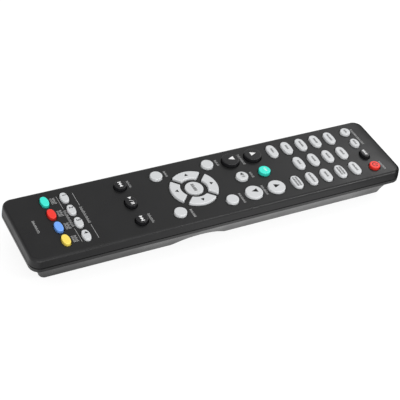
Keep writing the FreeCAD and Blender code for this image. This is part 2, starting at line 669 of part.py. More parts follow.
def make_bottom_cover():
    """The lower shell: a flange with a locating lip, and two humps with the recess between."""
    body = new_body("bottom_cover")
    flange = sketch_on(body, z=FLANGE_BOTTOM)
    draw_rectangle(flange, "size.case_length", "size.case_width", "size.corner_radius")
    pad(body, flange, f"{NECK_BOTTOM} - {FLANGE_BOTTOM}")
    round_edges(body, "size.flange_edge_radius", lambda edge: level_edge(edge, value(FLANGE_BOTTOM)))
    for inset, low, high in (("size.groove_depth", NECK_BOTTOM, PARTING),
                             (LIP_OUTSET, PARTING, f"({PARTING} + size.lip_height)")):
        step = sketch_on(body, z=low)
        draw_rectangle(step, f"size.case_length - 2 * {inset}", f"size.case_width - 2 * {inset}",
                       f"size.corner_radius - {inset}")
        pad(body, step, f"{high} - {low}")
    well = sketch_on(body, z=BOARD_BOTTOM)
    draw_rectangle(well, f"size.case_length - 2 * {WELL_OUTSET}", f"size.case_width - 2 * {WELL_OUTSET}",
                   f"size.corner_radius - {WELL_OUTSET}")
    pocket(body, well, f"{PARTING} + size.lip_height - {BOARD_BOTTOM}", upwards=True)
    loft(body, "PartDesign::AdditiveLoft",
         [hump_section(body, height) for height in (FLANGE_BOTTOM, f"{FLANGE_BOTTOM} / 2", "0")], ruled=False)
    round_edges(body, "size.hump_edge_radius", lambda edge: level_edge(edge, 0.0))
    recess = sketch_on(body, role="XZ_Plane", x=RECESS_MIDDLE)
    draw_recess(recess)
    pocket(body, recess, "size.case_width", both_ways=True)

    recess_roof = "(size.recess_height + size.hump_wall)"
    bay_rear_outer = f"({BAY_REAR} - size.bay_end_wall + size.hump_wall)"
    inner_front = f"({HUMP_FRONT} - size.hump_wall)"
    foot = "sqrt(size.recess_radius ^ 2 - (size.recess_radius - size.recess_height) ^ 2)"
    front_hump_rear = f"({RECESS_MIDDLE} + {foot} + size.hump_wall)"
    cavity(body, bay_rear_outer, inner_front, recess_roof, BOARD_BOTTOM)
    cavity(body, front_hump_rear, inner_front, "size.hump_wall", recess_roof)
    cavity(body, bay_rear_outer, BAY_BLOCK_FRONT, "size.hump_wall", recess_roof)

    block_low = "size.hump_wall / 2"
    block = sketch_on(body, x=f"({BAY_REAR} - size.bay_end_wall + {BAY_BLOCK_FRONT}) / 2", z=block_low)
    draw_rectangle(block, f"{BAY_BLOCK_FRONT} - {BAY_REAR} + size.bay_end_wall",
                   f"2 * ({BAY_SIDE} + size.bay_side_wall)", "size.hump_wall / 2")
    pad(body, block, f"{BOARD_BOTTOM} - {block_low}")
    bay = sketch_on(body, x=f"({BAY_REAR} + {BAY_FRONT}) / 2")
    draw_rectangle(bay, f"{BAY_LENGTH}", f"2 * {BAY_SIDE}", "size.hump_wall / 4")
    pocket(body, bay, BAY_TOP, upwards=True)
    cut_door_slot(body)
    cut_fastenings(body)


def cut_door_slot(body):
    """The bed of the battery door, its side grooves and the slot for its tongue."""
    bed_rear = f"({HUMP_REAR_ROOT} - size.hump_rear_slope)"
    cuts = (
        (bed_rear, BAY_BLOCK_FRONT, f"({DOOR_SIDE} + size.door_clearance)",
         "(-size.door_floor_gap)", f"({DOOR_TOP} + size.door_clearance)"),
        (bed_rear, BAY_BLOCK_FRONT, f"({DOOR_RAIL_SIDE} + size.door_clearance)",
         f"({DOOR_TOP} - size.door_rail_thickness - size.door_clearance)",
         f"({DOOR_TOP} + size.door_clearance)"),
        (BAY_FRONT, f"({BAY_BLOCK_FRONT} + size.door_tongue_length)",
         "(size.door_tongue_width / 2 + size.door_clearance)",
         f"({DOOR_TOP} - size.door_rail_thickness - size.door_clearance)",
         f"({DOOR_TOP} + size.door_clearance)"),
    )
    for rear, front, side, low, high in cuts:
        sketch = sketch_on(body, x=f"({rear} + {front}) / 2", z=low)
        draw_rectangle(sketch, f"{front} - {rear}", f"2 * {side}", "size.door_clearance")
        pocket(body, sketch, f"{high} - {low}", upwards=True)


def cut_fastenings(body):
    """Screw holes with sunk seats, slots for the solder tabs, and room for the window."""
    for side in (1, -1):
        across = f"{side} * size.screw_column"
        hole = sketch_on(body, x=SCREW_ROW, y=across, z=BAY_TOP)
        draw_circle(hole, "size.screw_diameter + 2 * size.screw_clearance")
        pocket(body, hole, "size.bay_ceiling", upwards=True)
        seat = sketch_on(body, x=SCREW_ROW, y=across, z=BAY_TOP)
        draw_circle(seat, "size.screw_head_diameter + 2 * size.screw_clearance")
        pocket(body, seat, "size.screw_head_height", upwards=True)
        slot = sketch_on(body, x=f"{BAY_FRONT} - size.plate_thickness / 2", y=f"{side} * {CELL_COLUMN}",
                         z=BAY_TOP)
        draw_rectangle(slot, "size.plate_thickness + 2 * size.tab_clearance",
                       "size.tab_width + 2 * size.tab_clearance", "size.tab_clearance / 2")
        pocket(body, slot, "size.bay_ceiling", upwards=True)
    back_side = "(size.window_width / 2 + size.window_back_margin)"
    relief = sketch_on(body, x=f"{FRONT} - {WELL_OUTSET}", z=PARTING)
    draw_rectangle(relief, "2 * size.lip_thickness + 2 * size.lip_clearance",
                   f"2 * ({back_side} + size.lip_clearance)", "size.lip_clearance")
    pocket(body, relief, "size.lip_height", upwards=True)


def make_battery_door():
    """The battery door: a plate with side rails, a front tongue and a ribbed thumb grip."""
    body = new_body("battery_door")
    door_rear = f"({HUMP_REAR_FLOOR} + size.door_rear_gap)"
    door_front = f"({BAY_BLOCK_FRONT} - size.door_clearance)"
    plate = sketch_on(body, x=f"({door_rear} + {door_front}) / 2", z="size.door_floor_gap")
    draw_rectangle(plate, f"{door_front} - {door_rear}", f"2 * {DOOR_SIDE}", "size.door_clearance")
    pad(body, plate, "size.door_thickness")
    rear_x, low_z = value(door_rear), value("size.door_floor_gap")
    round_edges(body, "size.door_edge_radius",
                lambda edge: level_edge(edge, low_z) and abs(edge.BoundBox.XMax - rear_x) < 1e-4)
    rail_low = f"({DOOR_TOP} - size.door_rail_thickness)"
    rails = sketch_on(body, x=f"({door_rear} + {door_front}) / 2", z=rail_low)
    draw_rectangle(rails, f"{door_front} - {door_rear}", f"2 * {DOOR_RAIL_SIDE}", "size.door_clearance")
    pad(body, rails, "size.door_rail_thickness")
    tongue_front = f"({door_front} + size.door_tongue_length)"
    tongue = sketch_on(body, x=f"({BAY_FRONT} + {tongue_front}) / 2", z=rail_low)
    draw_rectangle(tongue, f"{tongue_front} - {BAY_FRONT}", "size.door_tongue_width", "size.door_clearance")
    pad(body, tongue, "size.door_rail_thickness")
    grip_x = f"({door_front} - size.grip_inset)"
    grip = sketch_on(body, x=grip_x, z="size.door_floor_gap")
    draw_rectangle(grip, "size.grip_length", "size.grip_width", "size.grip_length / 3")
    pocket(body, grip, "size.grip_depth", upwards=True)
    first_rib = f"({grip_x} - (size.grip_rib_count - 1) * size.grip_rib_pitch / 2)"
    rib = sketch_on(body, x=first_rib, z="size.door_floor_gap")
    draw_rectangle(rib, "size.grip_rib_width", "size.grip_width * 0.7", "size.grip_rib_width / 4")
    rib_pad = pad(body, rib, "size.grip_depth")
    doc.recompute()
    ribs = body.newObject("PartDesign::LinearPattern", "ribs")
    ribs.Originals = [rib_pad]
    ribs.Direction = (rib, ["H_Axis"])
    ribs.setExpression("Length", "(size.grip_rib_count - 1) * size.grip_rib_pitch")
    ribs.setExpression("Occurrences", "size.grip_rib_count")
    body.Tip = ribs


def make_cells():
    """Two small round cells side by side, one turned end for end."""
    sides = (("battery_cell_left", 1, 0, f"{BAY_FRONT} - size.plate_thickness"),
             ("battery_cell_right", -1, 180, f"{BAY_REAR} + size.plate_thickness"))
    for name, side, turn, nub_end in sides:
        body = new_body(name)
        can = sketch_on(body, role="YZ_Plane", z="-size.cell_length")
        draw_circle(can, "size.cell_diameter")
        pad(body, can, "size.cell_length - size.cell_nub_length")
        round_edges(body, "size.cell_edge_radius", lambda edge: edge.BoundBox.XLength < 1e-4)
        nub = sketch_on(body, role="YZ_Plane", z="-size.cell_nub_length")
        draw_circle(nub, "size.cell_nub_diameter")
        pad(body, nub, "size.cell_nub_length")
        body.Placement = turned(turn)
        body.setExpression(".Placement.Base.x", nub_end)
        body.setExpression(".Placement.Base.y", f"{side} * {CELL_COLUMN}")
        body.setExpression(".Placement.Base.z", CELL_AXIS)


def two_arcs(start, start_along, end, end_along):
    """Two arcs that join two points with a given direction at each."""
    chord = end - start
    both = start_along + end_along
    spread = 2 * (1 - start_along.dot(end_along))
    reach = (math.sqrt(chord.dot(both) ** 2 + spread * chord.dot(chord)) - chord.dot(both)) / spread
    before = start + start_along * reach
    after = end - end_along * reach
    joint = (before + after) * 0.5
    across = (after - before).normalize()
    edges = []
    for first, first_along, last in ((start, start_along, joint), (joint, across, end)):
        span = last - first
        centre_way = (span - first_along * span.dot(first_along)).normalize()
        radius = span.dot(span) / (2 * span.dot(centre_way))
        centre = first + centre_way * radius
        middle = centre + ((first + last) * 0.5 - centre).normalize() * radius
        edges.append(Part.Arc(first, middle, last).toShape())
    return edges


def conical_coil(wire, base_radius, tip_radius, turns, length):
    """A conical spring of round wire along +X, with its base at the origin."""
    quarter_steps = 4 * turns
    points, along = [], []
    for step in range(quarter_steps + 1):
        share = step / quarter_steps
        angle = share * turns * 2 * math.pi
        radius = base_radius + (tip_radius - base_radius) * share
        climb = (length - wire) * share + wire / 2
        points.append(FreeCAD.Vector(climb, radius * math.cos(angle), radius * math.sin(angle)))
        shrink = (tip_radius - base_radius) / (turns * 2 * math.pi)
        rise = (length - wire) / (turns * 2 * math.pi)
        way = FreeCAD.Vector(rise, shrink * math.cos(angle) - radius * math.sin(angle),
                             shrink * math.sin(angle) + radius * math.cos(angle))
        along.append(way.normalize())
    edges = []
    for step in range(quarter_steps):
        edges += two_arcs(points[step], along[step], points[step + 1], along[step + 1])
    path = Part.Wire(edges)
    ring = Part.Wire([Part.Circle(points[0], along[0], wire / 2).toShape()])
    samples = [place for edge in edges for place in edge.discretize(8)]
    half_turn = len(samples) // (2 * turns)
    least = min(here.distanceToPoint(there) for step, here in enumerate(samples)
                for there in samples[step + half_turn:])
    print(f"least gap of the spring to itself {least - wire:.2f} mm")
    return path.makePipeShell([ring], True, False)


def make_contacts():
    """The battery contacts: a bridge at the rear end, a spring and a plate at the front end."""
    plate_low = f"({CELL_AXIS} - size.plate_height / 2)"
    tab_length = f"({BOARD_BOTTOM} - {plate_low} - size.plate_height)"
    pieces = (
        ("bridge_contact", BAY_REAR, 0, True, False),
        ("spring_contact", f"{BAY_FRONT} - size.plate_thickness", -1, True, True),
        ("plate_contact", f"{BAY_FRONT} - size.plate_thickness", 1, False, True),
    )
    for name, x, side, has_spring, has_tab in pieces:
        links = []
        blade = doc.addObject("Part::Box", f"{name}_blade")
        blade.setExpression("Length", "size.plate_thickness")
        width = "size.plate_width" if side else f"(size.plate_width + 2 * {CELL_COLUMN})"
        middle = f"{side} * {CELL_COLUMN}"
        blade.setExpression("Width", width)
        blade.setExpression("Height", "size.plate_height")
        blade.setExpression(".Placement.Base.x", x)
        blade.setExpression(".Placement.Base.y", f"{middle} - {width} / 2")
        blade.setExpression(".Placement.Base.z", plate_low)
        plate = blade
        if has_tab:
            tab = doc.addObject("Part::Box", f"{name}_tab")
            tab.setExpression("Length", "size.plate_thickness")
            tab.setExpression("Width", "size.tab_width")
            tab.setExpression("Height", tab_length)
            tab.setExpression(".Placement.Base.x", x)
            tab.setExpression(".Placement.Base.y", f"{middle} - size.tab_width / 2")
            tab.setExpression(".Placement.Base.z", f"{plate_low} + size.plate_height")
            plate = doc.addObject("Part::Fuse", f"{name}_plate")
            plate.Base = blade
            plate.Tool = tab
        links.append(plate)
        if has_spring:
            coil = doc.addObject("Part::Feature", f"{name}_coil")
            coil.Shape = conical_coil(
                value("size.spring_wire"), value("size.spring_base_radius"), value("size.spring_tip_radius"),
                round(value("size.spring_turns")), value("size.spring_length"))
            at_rear = side == 0
            rear_seat = f"{BAY_REAR} + size.plate_thickness"
            front_seat = f"{BAY_FRONT} - size.plate_thickness"
            seat = value(rear_seat if at_rear else front_seat)
            coil_y = value(CELL_COLUMN) * (1 if at_rear else -1)
            coil.Placement = turned(0 if at_rear else 180)
            coil.Placement.Base = FreeCAD.Vector(seat, coil_y, value(CELL_AXIS))
            links.append(coil)
        contact = doc.addObject("Part::Compound", name)
        contact.Label = name
        contact.Links = links
        NODES.append(contact)


def make_screws():
    """Two pan head screws from the battery bay into the bosses of the top cover."""
    screws = []
    for side, word in ((1, "left"), (-1, "right")):
        across = f"{side} * size.screw_column"
        head = doc.addObject("Part::Cylinder", f"screw_head_{word}")
        head.setExpression("Radius", "size.screw_head_diameter / 2")
        head.setExpression("Height", "size.screw_head_height")
        shank = doc.addObject("Part::Cylinder", f"screw_shank_{word}")
        shank.setExpression("Radius", "size.screw_diameter / 2")
        shank.setExpression("Height", f"{BOARD_TOP} + size.screw_engagement - {BAY_TOP}")
        recess = []
        for long_way in ("Length", "Width"):
            bar = doc.addObject("Part::Box", f"screw_slot_{word}")
            short_way = "Width" if long_way == "Length" else "Length"
            bar.setExpression(long_way, "size.screw_slot_length")
            bar.setExpression(short_way, "size.screw_slot_width")
            bar.setExpression("Height", "size.screw_slot_depth")
            for axis, way in (("x", "Length"), ("y", "Width")):
                extent = "length" if way == long_way else "width"
                middle = SCREW_ROW if axis == "x" else across
                bar.setExpression(f".Placement.Base.{axis}", f"{middle} - size.screw_slot_{extent} / 2")
            bar.setExpression(".Placement.Base.z", BAY_TOP)
            recess.append(bar)
        for piece in (head, shank):
            piece.setExpression(".Placement.Base.x", SCREW_ROW)
            piece.setExpression(".Placement.Base.y", across)
            piece.setExpression(".Placement.Base.z", BAY_TOP)
        whole = doc.addObject("Part::MultiFuse", f"screw_blank_{word}")
        whole.Shapes = [head, shank]
        cross = doc.addObject("Part::MultiFuse", f"screw_cross_{word}")
        cross.Shapes = recess
        screw = doc.addObject("Part::Cut", f"screw_{word}")
        screw.Base = whole
        screw.Tool = cross
        screws.append(screw)
    group = doc.addObject("Part::Compound", "case_screws")
    group.Label = "case_screws"
    group.Links = screws
    NODES.append(group)


def flat_piece(name, whole, rear, front, low, thickness, hole):
    """A flat piece that lies in the well of the bottom cover, with a hole for each screw."""
    body = new_body(name, whole)
    edge = sketch_on(body, x=f"({rear} + {front}) / 2", z=low)
    draw_rectangle(edge, f"{front} - {rear}", f"size.case_width - 2 * {BOARD_OUTSET}",
                   "size.board_corner_radius")
    pad(body, edge, thickness)
    for side in (1, -1):
        opening = sketch_on(body, x=SCREW_ROW, y=f"{side} * size.screw_column", z=low)
        draw_circle(opening, f"{hole} + 2 * size.screw_clearance")
        pocket(body, opening, thickness, upwards=True)
    return body


def make_board():
    """The circuit board, and the keypad mat on it with a hole for each plunger."""
    rear = f"({REAR} + {WELL_OUTSET} + size.board_end_gap)"
    front = f"({FRONT} - size.board_front_inset)"
    flat_piece("circuit_board", True, rear, front, BOARD_BOTTOM, "size.board_thickness",
               "size.screw_diameter")
    mat = flat_piece("keypad_mat_blank", False, f"({rear} + size.mat_rear_gap)",
                     f"({front} - size.mat_front_gap)", BOARD_TOP, "size.mat_thickness",
                     "size.boss_diameter")
    cut_key_openings(mat, "keypad_mat", "(size.mat_hole_gap - size.plunger_inset)", BOARD_TOP,
                     "size.mat_thickness")


def make_window():
    """The infrared window: a tinted bar in the front wall, with a wider back behind the wall."""
    body = new_body("infrared_window")
    middle = f"{PARTING} + size.window_height / 2"
    gap = "size.window_clearance"
    low_end = f"{FRONT} - size.side_wall - {gap}"
    bar = sketch_on(body, role="YZ_Plane", y=middle, z=low_end)
    draw_rectangle(bar, f"size.window_width - 2 * {gap}", f"size.window_height - 2 * {gap}",
                   f"size.window_corner_radius - {gap}")
    pad(body, bar, f"size.side_wall + {gap}")
    back = sketch_on(body, role="YZ_Plane", y=middle, z=low_end)
    draw_rectangle(back, "size.window_width + 2 * size.window_back_margin",
                   f"size.window_height - 2 * {gap}", f"size.window_corner_radius - {gap}")
    pad(body, back, "size.window_back", downwards=True)


def make_emitters():
    """Two infrared diodes behind the window, with their leads on the edge of the board."""
    nose = f"({FRONT} - size.side_wall - size.window_clearance - size.window_back - size.emitter_nose_gap)"
    axis_z = f"({BOARD_TOP} + size.emitter_lift)"
    lead_rear = f"({FRONT} - size.board_front_inset - size.lead_reach)"
    pieces = []
    for side, word in ((1, "left"), (-1, "right")):
        across = f"{side} * size.emitter_column"
        lens = doc.addObject("Part::Cylinder", f"emitter_barrel_{word}")
        lens.setExpression("Radius", "size.emitter_diameter / 2")
        lens.setExpression("Height", "size.emitter_length - size.emitter_diameter / 2")
        dome = doc.addObject("Part::Sphere", f"emitter_dome_{word}")
        dome.setExpression("Radius", "size.emitter_diameter / 2")
        flange = doc.addObject("Part::Cylinder", f"emitter_flange_{word}")
        flange.setExpression("Radius", "size.emitter_flange_diameter / 2")
        flange.setExpression("Height", "size.emitter_flange_length")
        along = FreeCAD.Rotation(FreeCAD.Vector(0, 1, 0), 90)
        base_x = f"({nose} - size.emitter_length)"
        places = ((lens, base_x), (dome, f"{nose} - size.emitter_diameter / 2"), (flange, base_x))
        for piece, x in places:
            piece.Placement = FreeCAD.Placement(FreeCAD.Vector(), along)
            piece.setExpression(".Placement.Base.x", x)
            piece.setExpression(".Placement.Base.y", across)
            piece.setExpression(".Placement.Base.z", axis_z)
        whole = [lens, dome, flange]
        for pin in (1, -1):
            lead_y = f"{across} + {pin} * size.lead_pitch / 2 - size.lead_width / 2"
            for part_name, length, height, x, z in (
                    ("run", f"{base_x} - {lead_rear}", "size.lead_width", lead_rear,
                     f"{axis_z} - size.lead_width / 2"),
                    ("drop", "size.lead_width", "size.emitter_lift", lead_rear, BOARD_TOP)):
                lead = doc.addObject("Part::Box", f"lead_{part_name}_{word}")
                lead.setExpression("Length", length)
                lead.setExpression("Width", "size.lead_width")
                lead.setExpression("Height", height)
                lead.setExpression(".Placement.Base.x", x)
                lead.setExpression(".Placement.Base.y", lead_y)
                lead.setExpression(".Placement.Base.z", z)
                whole.append(lead)
        emitter = doc.addObject("Part::MultiFuse", f"emitter_{word}")
        emitter.Shapes = whole
        pieces.append(emitter)
    group = doc.addObject("Part::Compound", "infrared_emitters")
    group.Label = "infrared_emitters"
    group.Links = pieces
    NODES.append(group)


def make_board_parts():
    """The controller chip, the resonator and the capacitor under the board."""
    chip = new_body("controller_chip")
    chip_x = f"({RECESS_MIDDLE} + size.chip_offset)"
    block = sketch_on(chip, x=chip_x, z=BOARD_BOTTOM)
    draw_rectangle(block, "size.chip_length", "size.chip_width", "size.chip_pin_thickness")
    pad(chip, block, "size.chip_height", downwards=True)
    first_pin = f"({chip_x} - (size.chip_pin_count - 1) * size.chip_pin_pitch / 2)"
    pin = sketch_on(chip, x=first_pin, z=BOARD_BOTTOM)
    draw_rectangle(pin, "size.chip_pin_width", "size.chip_width + 2 * size.chip_pin_reach",
                   "size.chip_pin_width / 4")
    pin_pad = pad(chip, pin, "size.chip_pin_thickness", downwards=True)
    doc.recompute()
    pins = chip.newObject("PartDesign::LinearPattern", "pins")
    pins.Originals = [pin_pad]
    pins.Direction = (pin, ["H_Axis"])
    pins.setExpression("Length", "(size.chip_pin_count - 1) * size.chip_pin_pitch")
    pins.setExpression("Occurrences", "size.chip_pin_count")
    chip.Tip = pins

    resonator = new_body("ceramic_resonator")
    outline = sketch_on(resonator, x=f"{RECESS_MIDDLE} + size.resonator_offset", z=BOARD_BOTTOM)
    draw_rectangle(outline, "size.resonator_length", "size.resonator_width", "size.resonator_width * 0.4")
    pad(resonator, outline, "size.resonator_height", downwards=True)

    capacitor = new_body("smoothing_capacitor")
    can = sketch_on(capacitor, x=f"{RECESS_MIDDLE} + size.capacitor_offset", z=BOARD_BOTTOM)
    draw_circle(can, "size.capacitor_diameter")
    pad(capacitor, can, "size.capacitor_length", downwards=True)
    can_end = value(f"{BOARD_BOTTOM} - size.capacitor_length")
    round_edges(capacitor, "size.cell_edge_radius", lambda edge: level_edge(edge, can_end))


make_top_cover()
make_bottom_cover()
make_battery_door()
make_window()
make_board()
make_emitters()
make_board_parts()
make_cells()
make_contacts()
make_screws()
for key in KEYS:
    make_key(*key)
doc.recompute()

faults = []
for item in doc.Objects:
    if "Invalid" in item.State or "Error" in item.State:
        faults.append(f"{item.Name} in state {item.State}")
for node in NODES:
    if node.Shape.isNull() or not node.Shape.isValid():
        faults.append(f"{node.Label} has no valid shape")
if faults:
    raise RuntimeError("; ".join(faults))

os.makedirs("parts", exist_ok=True)
for node in NODES:
    node.Shape.exportStep(f"parts/{node.Label}.step")
print(len(NODES), "nodes, face at %.2f mm" % value(FACE))
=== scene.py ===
import math

import bmesh
import bpy
from mathutils import Matrix, Vector


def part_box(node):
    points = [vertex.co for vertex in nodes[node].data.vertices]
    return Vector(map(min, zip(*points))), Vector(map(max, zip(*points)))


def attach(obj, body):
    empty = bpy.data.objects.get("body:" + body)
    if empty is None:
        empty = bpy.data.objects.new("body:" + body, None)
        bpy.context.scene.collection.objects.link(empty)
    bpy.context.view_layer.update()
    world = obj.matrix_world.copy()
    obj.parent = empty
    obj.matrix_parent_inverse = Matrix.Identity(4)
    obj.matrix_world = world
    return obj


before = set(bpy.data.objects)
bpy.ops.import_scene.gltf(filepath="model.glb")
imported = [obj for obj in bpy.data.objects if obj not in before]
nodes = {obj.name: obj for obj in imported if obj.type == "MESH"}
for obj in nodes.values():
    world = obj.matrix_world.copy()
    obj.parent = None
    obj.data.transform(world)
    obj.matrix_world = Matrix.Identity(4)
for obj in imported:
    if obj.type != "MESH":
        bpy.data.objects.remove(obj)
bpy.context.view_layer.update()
MM = 0.001


# The studio's camera looks down over the near rear corner of the remote, as in the photograph, through
# a long lens. Its place is in millimetres here and in metres in Blender.
CAMERA_PLACE = Vector((-267.91, -406.90, 431.53)) * MM
CAMERA_TURN = [math.radians(angle) for angle in (48.776, -6.966, -26.752)]
FOCAL_LENGTH = 104.34
SENSOR_WIDTH = 36.0
CLIP_START = 0.01

scene = bpy.context.scene
scene.view_settings.view_transform = "Standard"

camera = bpy.data.objects.new("camera", bpy.data.cameras.new("camera"))
scene.collection.objects.link(camera)
camera.location = CAMERA_PLACE
camera.rotation_euler = CAMERA_TURN
camera.data.lens = FOCAL_LENGTH
camera.data.sensor_width = SENSOR_WIDTH
camera.data.clip_start = CLIP_START
scene.camera = camera


# Four soft lamps light it: one from overhead, one beyond the front end that the face mirrors, and two
# on the near side, for the rim and for the wall.
def softbox(name, place, target, width, height, power):
    """A rectangular lamp that points at a target."""
    lamp = bpy.data.objects.new(name, bpy.data.lights.new(name, "AREA"))
    lamp.data.shape = "RECTANGLE"
    lamp.data.size = width
    lamp.data.size_y = height
    lamp.data.energy = power
    lamp.location = place
    lamp.rotation_euler = (Vector(target) - Vector(place)).to_track_quat("-Z", "Y").to_euler()
    scene.collection.objects.link(lamp)


softbox("overhead_lamp", place=(-0.1, -0.35, 0.9), target=(0.0, 0.0, 0.0), width=0.9, height=0.7,
        power=0.5)
softbox("front_end_lamp", place=(0.65, 0.466, 0.60), target=(0.105, 0.0, 0.022), width=0.16, height=0.16,
        power=0.44)
softbox("near_rim_lamp", place=(0.587, -0.637, 0.62), target=(0.07, -0.024, 0.022), width=0.3, height=0.3,
        power=2.6)
softbox("near_side_lamp", place=(-0.45, -1.3, 0.30), target=(0.0, 0.0, 0.02), width=1.6, height=0.5,
        power=9.0)


# The room is bright all round. A dim card hangs high behind the remote and keeps its face black, and
# low down the room is plain white in what the remote mirrors.
ROOM_LEVEL = 1.0
CARD_LEVEL = 0.50
CARD_WAY = Vector((-0.10, 0.82, 0.56)).normalized()
CARD_HEART = 0.92
CARD_RIM = 0.76
WHITE_BELOW = 0.02
WHITE_FADED = 0.10


def add(tree, kind, inputs=None, **settings):
    """Adds a node to a tree, with its settings and the values of its inputs."""
    made = tree.nodes.new(kind)
    for name, setting in settings.items():
        setattr(made, name, setting)
    for name, number in (inputs or {}).items():
        made.inputs[name].default_value = number
    return made


def remap(tree, before, after, **settings):
    """Adds a node that turns one span of numbers into another."""
    return add(tree, "ShaderNodeMapRange", {"From Min": before[0], "From Max": before[1],
                                            "To Min": after[0], "To Max": after[1]}, **settings)


def join(source, leaving, target, entering):
    """Links an output of one node to an input of another."""
    source.id_data.links.new(source.outputs[leaving], target.inputs[entering])


def white_share(tree):
    """Two nodes that say how far a ray sees plain white: wholly for the camera's rays, and for mirrored
    ones as far as the first node's second input says. The second node gives the result."""
    path = add(tree, "ShaderNodeLightPath")
    either = add(tree, "ShaderNodeMath", operation="MAXIMUM")
    mirrored = add(tree, "ShaderNodeMath", operation="MULTIPLY")
    white = add(tree, "ShaderNodeMath", operation="MAXIMUM")
    join(path, "Is Glossy Ray", either, 0)
    join(path, "Is Transmission Ray", either, 1)
    join(either, "Value", mirrored, 0)
    join(path, "Is Camera Ray", white, 0)
    join(mirrored, "Value", white, 1)
    return mirrored, white


world = bpy.data.worlds.new("studio")
world.use_nodes = True
scene.world = world
sky = world.node_tree
sky.nodes.clear()
sky_out = add(sky, "ShaderNodeOutputWorld")
sky_way = add(sky, "ShaderNodeTexCoord")
sky_card = add(sky, "ShaderNodeVectorMath", operation="DOT_PRODUCT")
sky_card.inputs[1].default_value = CARD_WAY
sky_level = remap(sky, (CARD_RIM, CARD_HEART), (ROOM_LEVEL, CARD_LEVEL), interpolation_type="SMOOTHSTEP")
sky_split = add(sky, "ShaderNodeSeparateXYZ")
sky_low = remap(sky, (WHITE_BELOW, WHITE_FADED), (1.0, 0.0))
sky_mirrored, sky_plain = white_share(sky)
sky_light = add(sky, "ShaderNodeBackground", {"Strength": 1.0})
sky_white = add(sky, "ShaderNodeBackground", {"Color": (1, 1, 1, 1), "Strength": 1.0})
sky_mix = add(sky, "ShaderNodeMixShader")
join(sky_way, "Generated", sky_card, 0)
join(sky_way, "Generated", sky_split, "Vector")
join(sky_card, "Value", sky_level, "Value")
join(sky_level, "Result", sky_light, "Color")
join(sky_split, "Z", sky_low, "Value")
join(sky_low, "Result", sky_mirrored, 1)
join(sky_plain, "Value", sky_mix, "Fac")
join(sky_light, "Background", sky_mix, 1)
join(sky_white, "Background", sky_mix, 2)
join(sky_mix, "Shader", sky_out, "Surface")


# The floor is pale. For the camera it glows to white, with a share of the matte floor and its shadow
# left in. What the remote mirrors of it carries painted shade below its two ends, in spans of X in
# metres.
FLOOR_SIDE = 6.0
FLOOR_DROP = 0.0001
FLOOR_WHITE = 0.82
FLOOR_GLOW = 0.84
FLOOR_SHADED = 0.25
FLOOR_MIRRORED = 0.95
FLOOR_BEHIND = (-0.126, -0.110)
FLOOR_REAR = (-0.110, 0.005)
FLOOR_REAR_DIM = 0.65
FLOOR_FRONT = (0.088, 0.128)
FLOOR_FRONT_DIM = 0.60


def new_material(name):
    """A material with an empty node tree but for its output."""
    material = bpy.data.materials.new(name)
    material.use_nodes = True
    tree = material.node_tree
    tree.nodes.clear()
    return material, tree, add(tree, "ShaderNodeOutputMaterial")


floor_mesh = bpy.data.meshes.new("floor")
half = FLOOR_SIDE / 2
floor_corners = [(-half, -half), (half, -half), (half, half), (-half, half)]
floor_mesh.from_pydata([(x, y, -FLOOR_DROP) for x, y in floor_corners], [], [(0, 1, 2, 3)])
floor = bpy.data.objects.new("floor", floor_mesh)
scene.collection.objects.link(floor)
floor_paint, floor_tree, floor_out = new_material("floor_paint")
floor_matte = add(floor_tree, "ShaderNodeBsdfDiffuse", {"Color": (*[FLOOR_WHITE] * 3, 1)})
floor_glow = add(floor_tree, "ShaderNodeEmission", {"Strength": FLOOR_GLOW / (1 - FLOOR_SHADED)})
floor_seen = add(floor_tree, "ShaderNodeMixShader", {"Fac": 1 - FLOOR_SHADED})
floor_where = add(floor_tree, "ShaderNodeTexCoord")
floor_split = add(floor_tree, "ShaderNodeSeparateXYZ")
floor_mirrored, floor_plain = white_share(floor_tree)
floor_mirrored.inputs[1].default_value = FLOOR_MIRRORED
# Painted shade in mirrored rays only: the floor is mixed toward black below the two ends.
floor_path = add(floor_tree, "ShaderNodeLightPath")
floor_rear = remap(floor_tree, FLOOR_REAR, (FLOOR_REAR_DIM, 0.0))
floor_behind = remap(floor_tree, FLOOR_BEHIND, (0.0, 1.0))
floor_rear_part = add(floor_tree, "ShaderNodeMath", operation="MULTIPLY")
floor_front = remap(floor_tree, FLOOR_FRONT, (0.0, FLOOR_FRONT_DIM))
floor_dim = add(floor_tree, "ShaderNodeMath", operation="ADD")
floor_dimmed = add(floor_tree, "ShaderNodeMath", operation="MULTIPLY")
floor_black = add(floor_tree, "ShaderNodeBsdfDiffuse", {"Color": (0, 0, 0, 1)})
floor_all = add(floor_tree, "ShaderNodeMixShader")
floor_mix = add(floor_tree, "ShaderNodeMixShader")
join(floor_matte, "BSDF", floor_seen, 1)
join(floor_glow, "Emission", floor_seen, 2)
join(floor_where, "Object", floor_split, "Vector")
join(floor_plain, "Value", floor_mix, "Fac")
join(floor_matte, "BSDF", floor_mix, 1)
join(floor_seen, "Shader", floor_mix, 2)
join(floor_split, "X", floor_rear, "Value")
join(floor_split, "X", floor_front, "Value")
join(floor_split, "X", floor_behind, "Value")
join(floor_rear, "Result", floor_rear_part, 0)
join(floor_behind, "Result", floor_rear_part, 1)
join(floor_rear_part, "Value", floor_dim, 0)
join(floor_front, "Result", floor_dim, 1)
join(floor_dim, "Value", floor_dimmed, 0)
join(floor_path, "Is Glossy Ray", floor_dimmed, 1)
join(floor_dimmed, "Value", floor_all, "Fac")
join(floor_mix, "Shader", floor_all, 1)
join(floor_black, "BSDF", floor_all, 2)
join(floor_all, "Shader", floor_out, "Surface")
floor_mesh.materials.append(floor_paint)


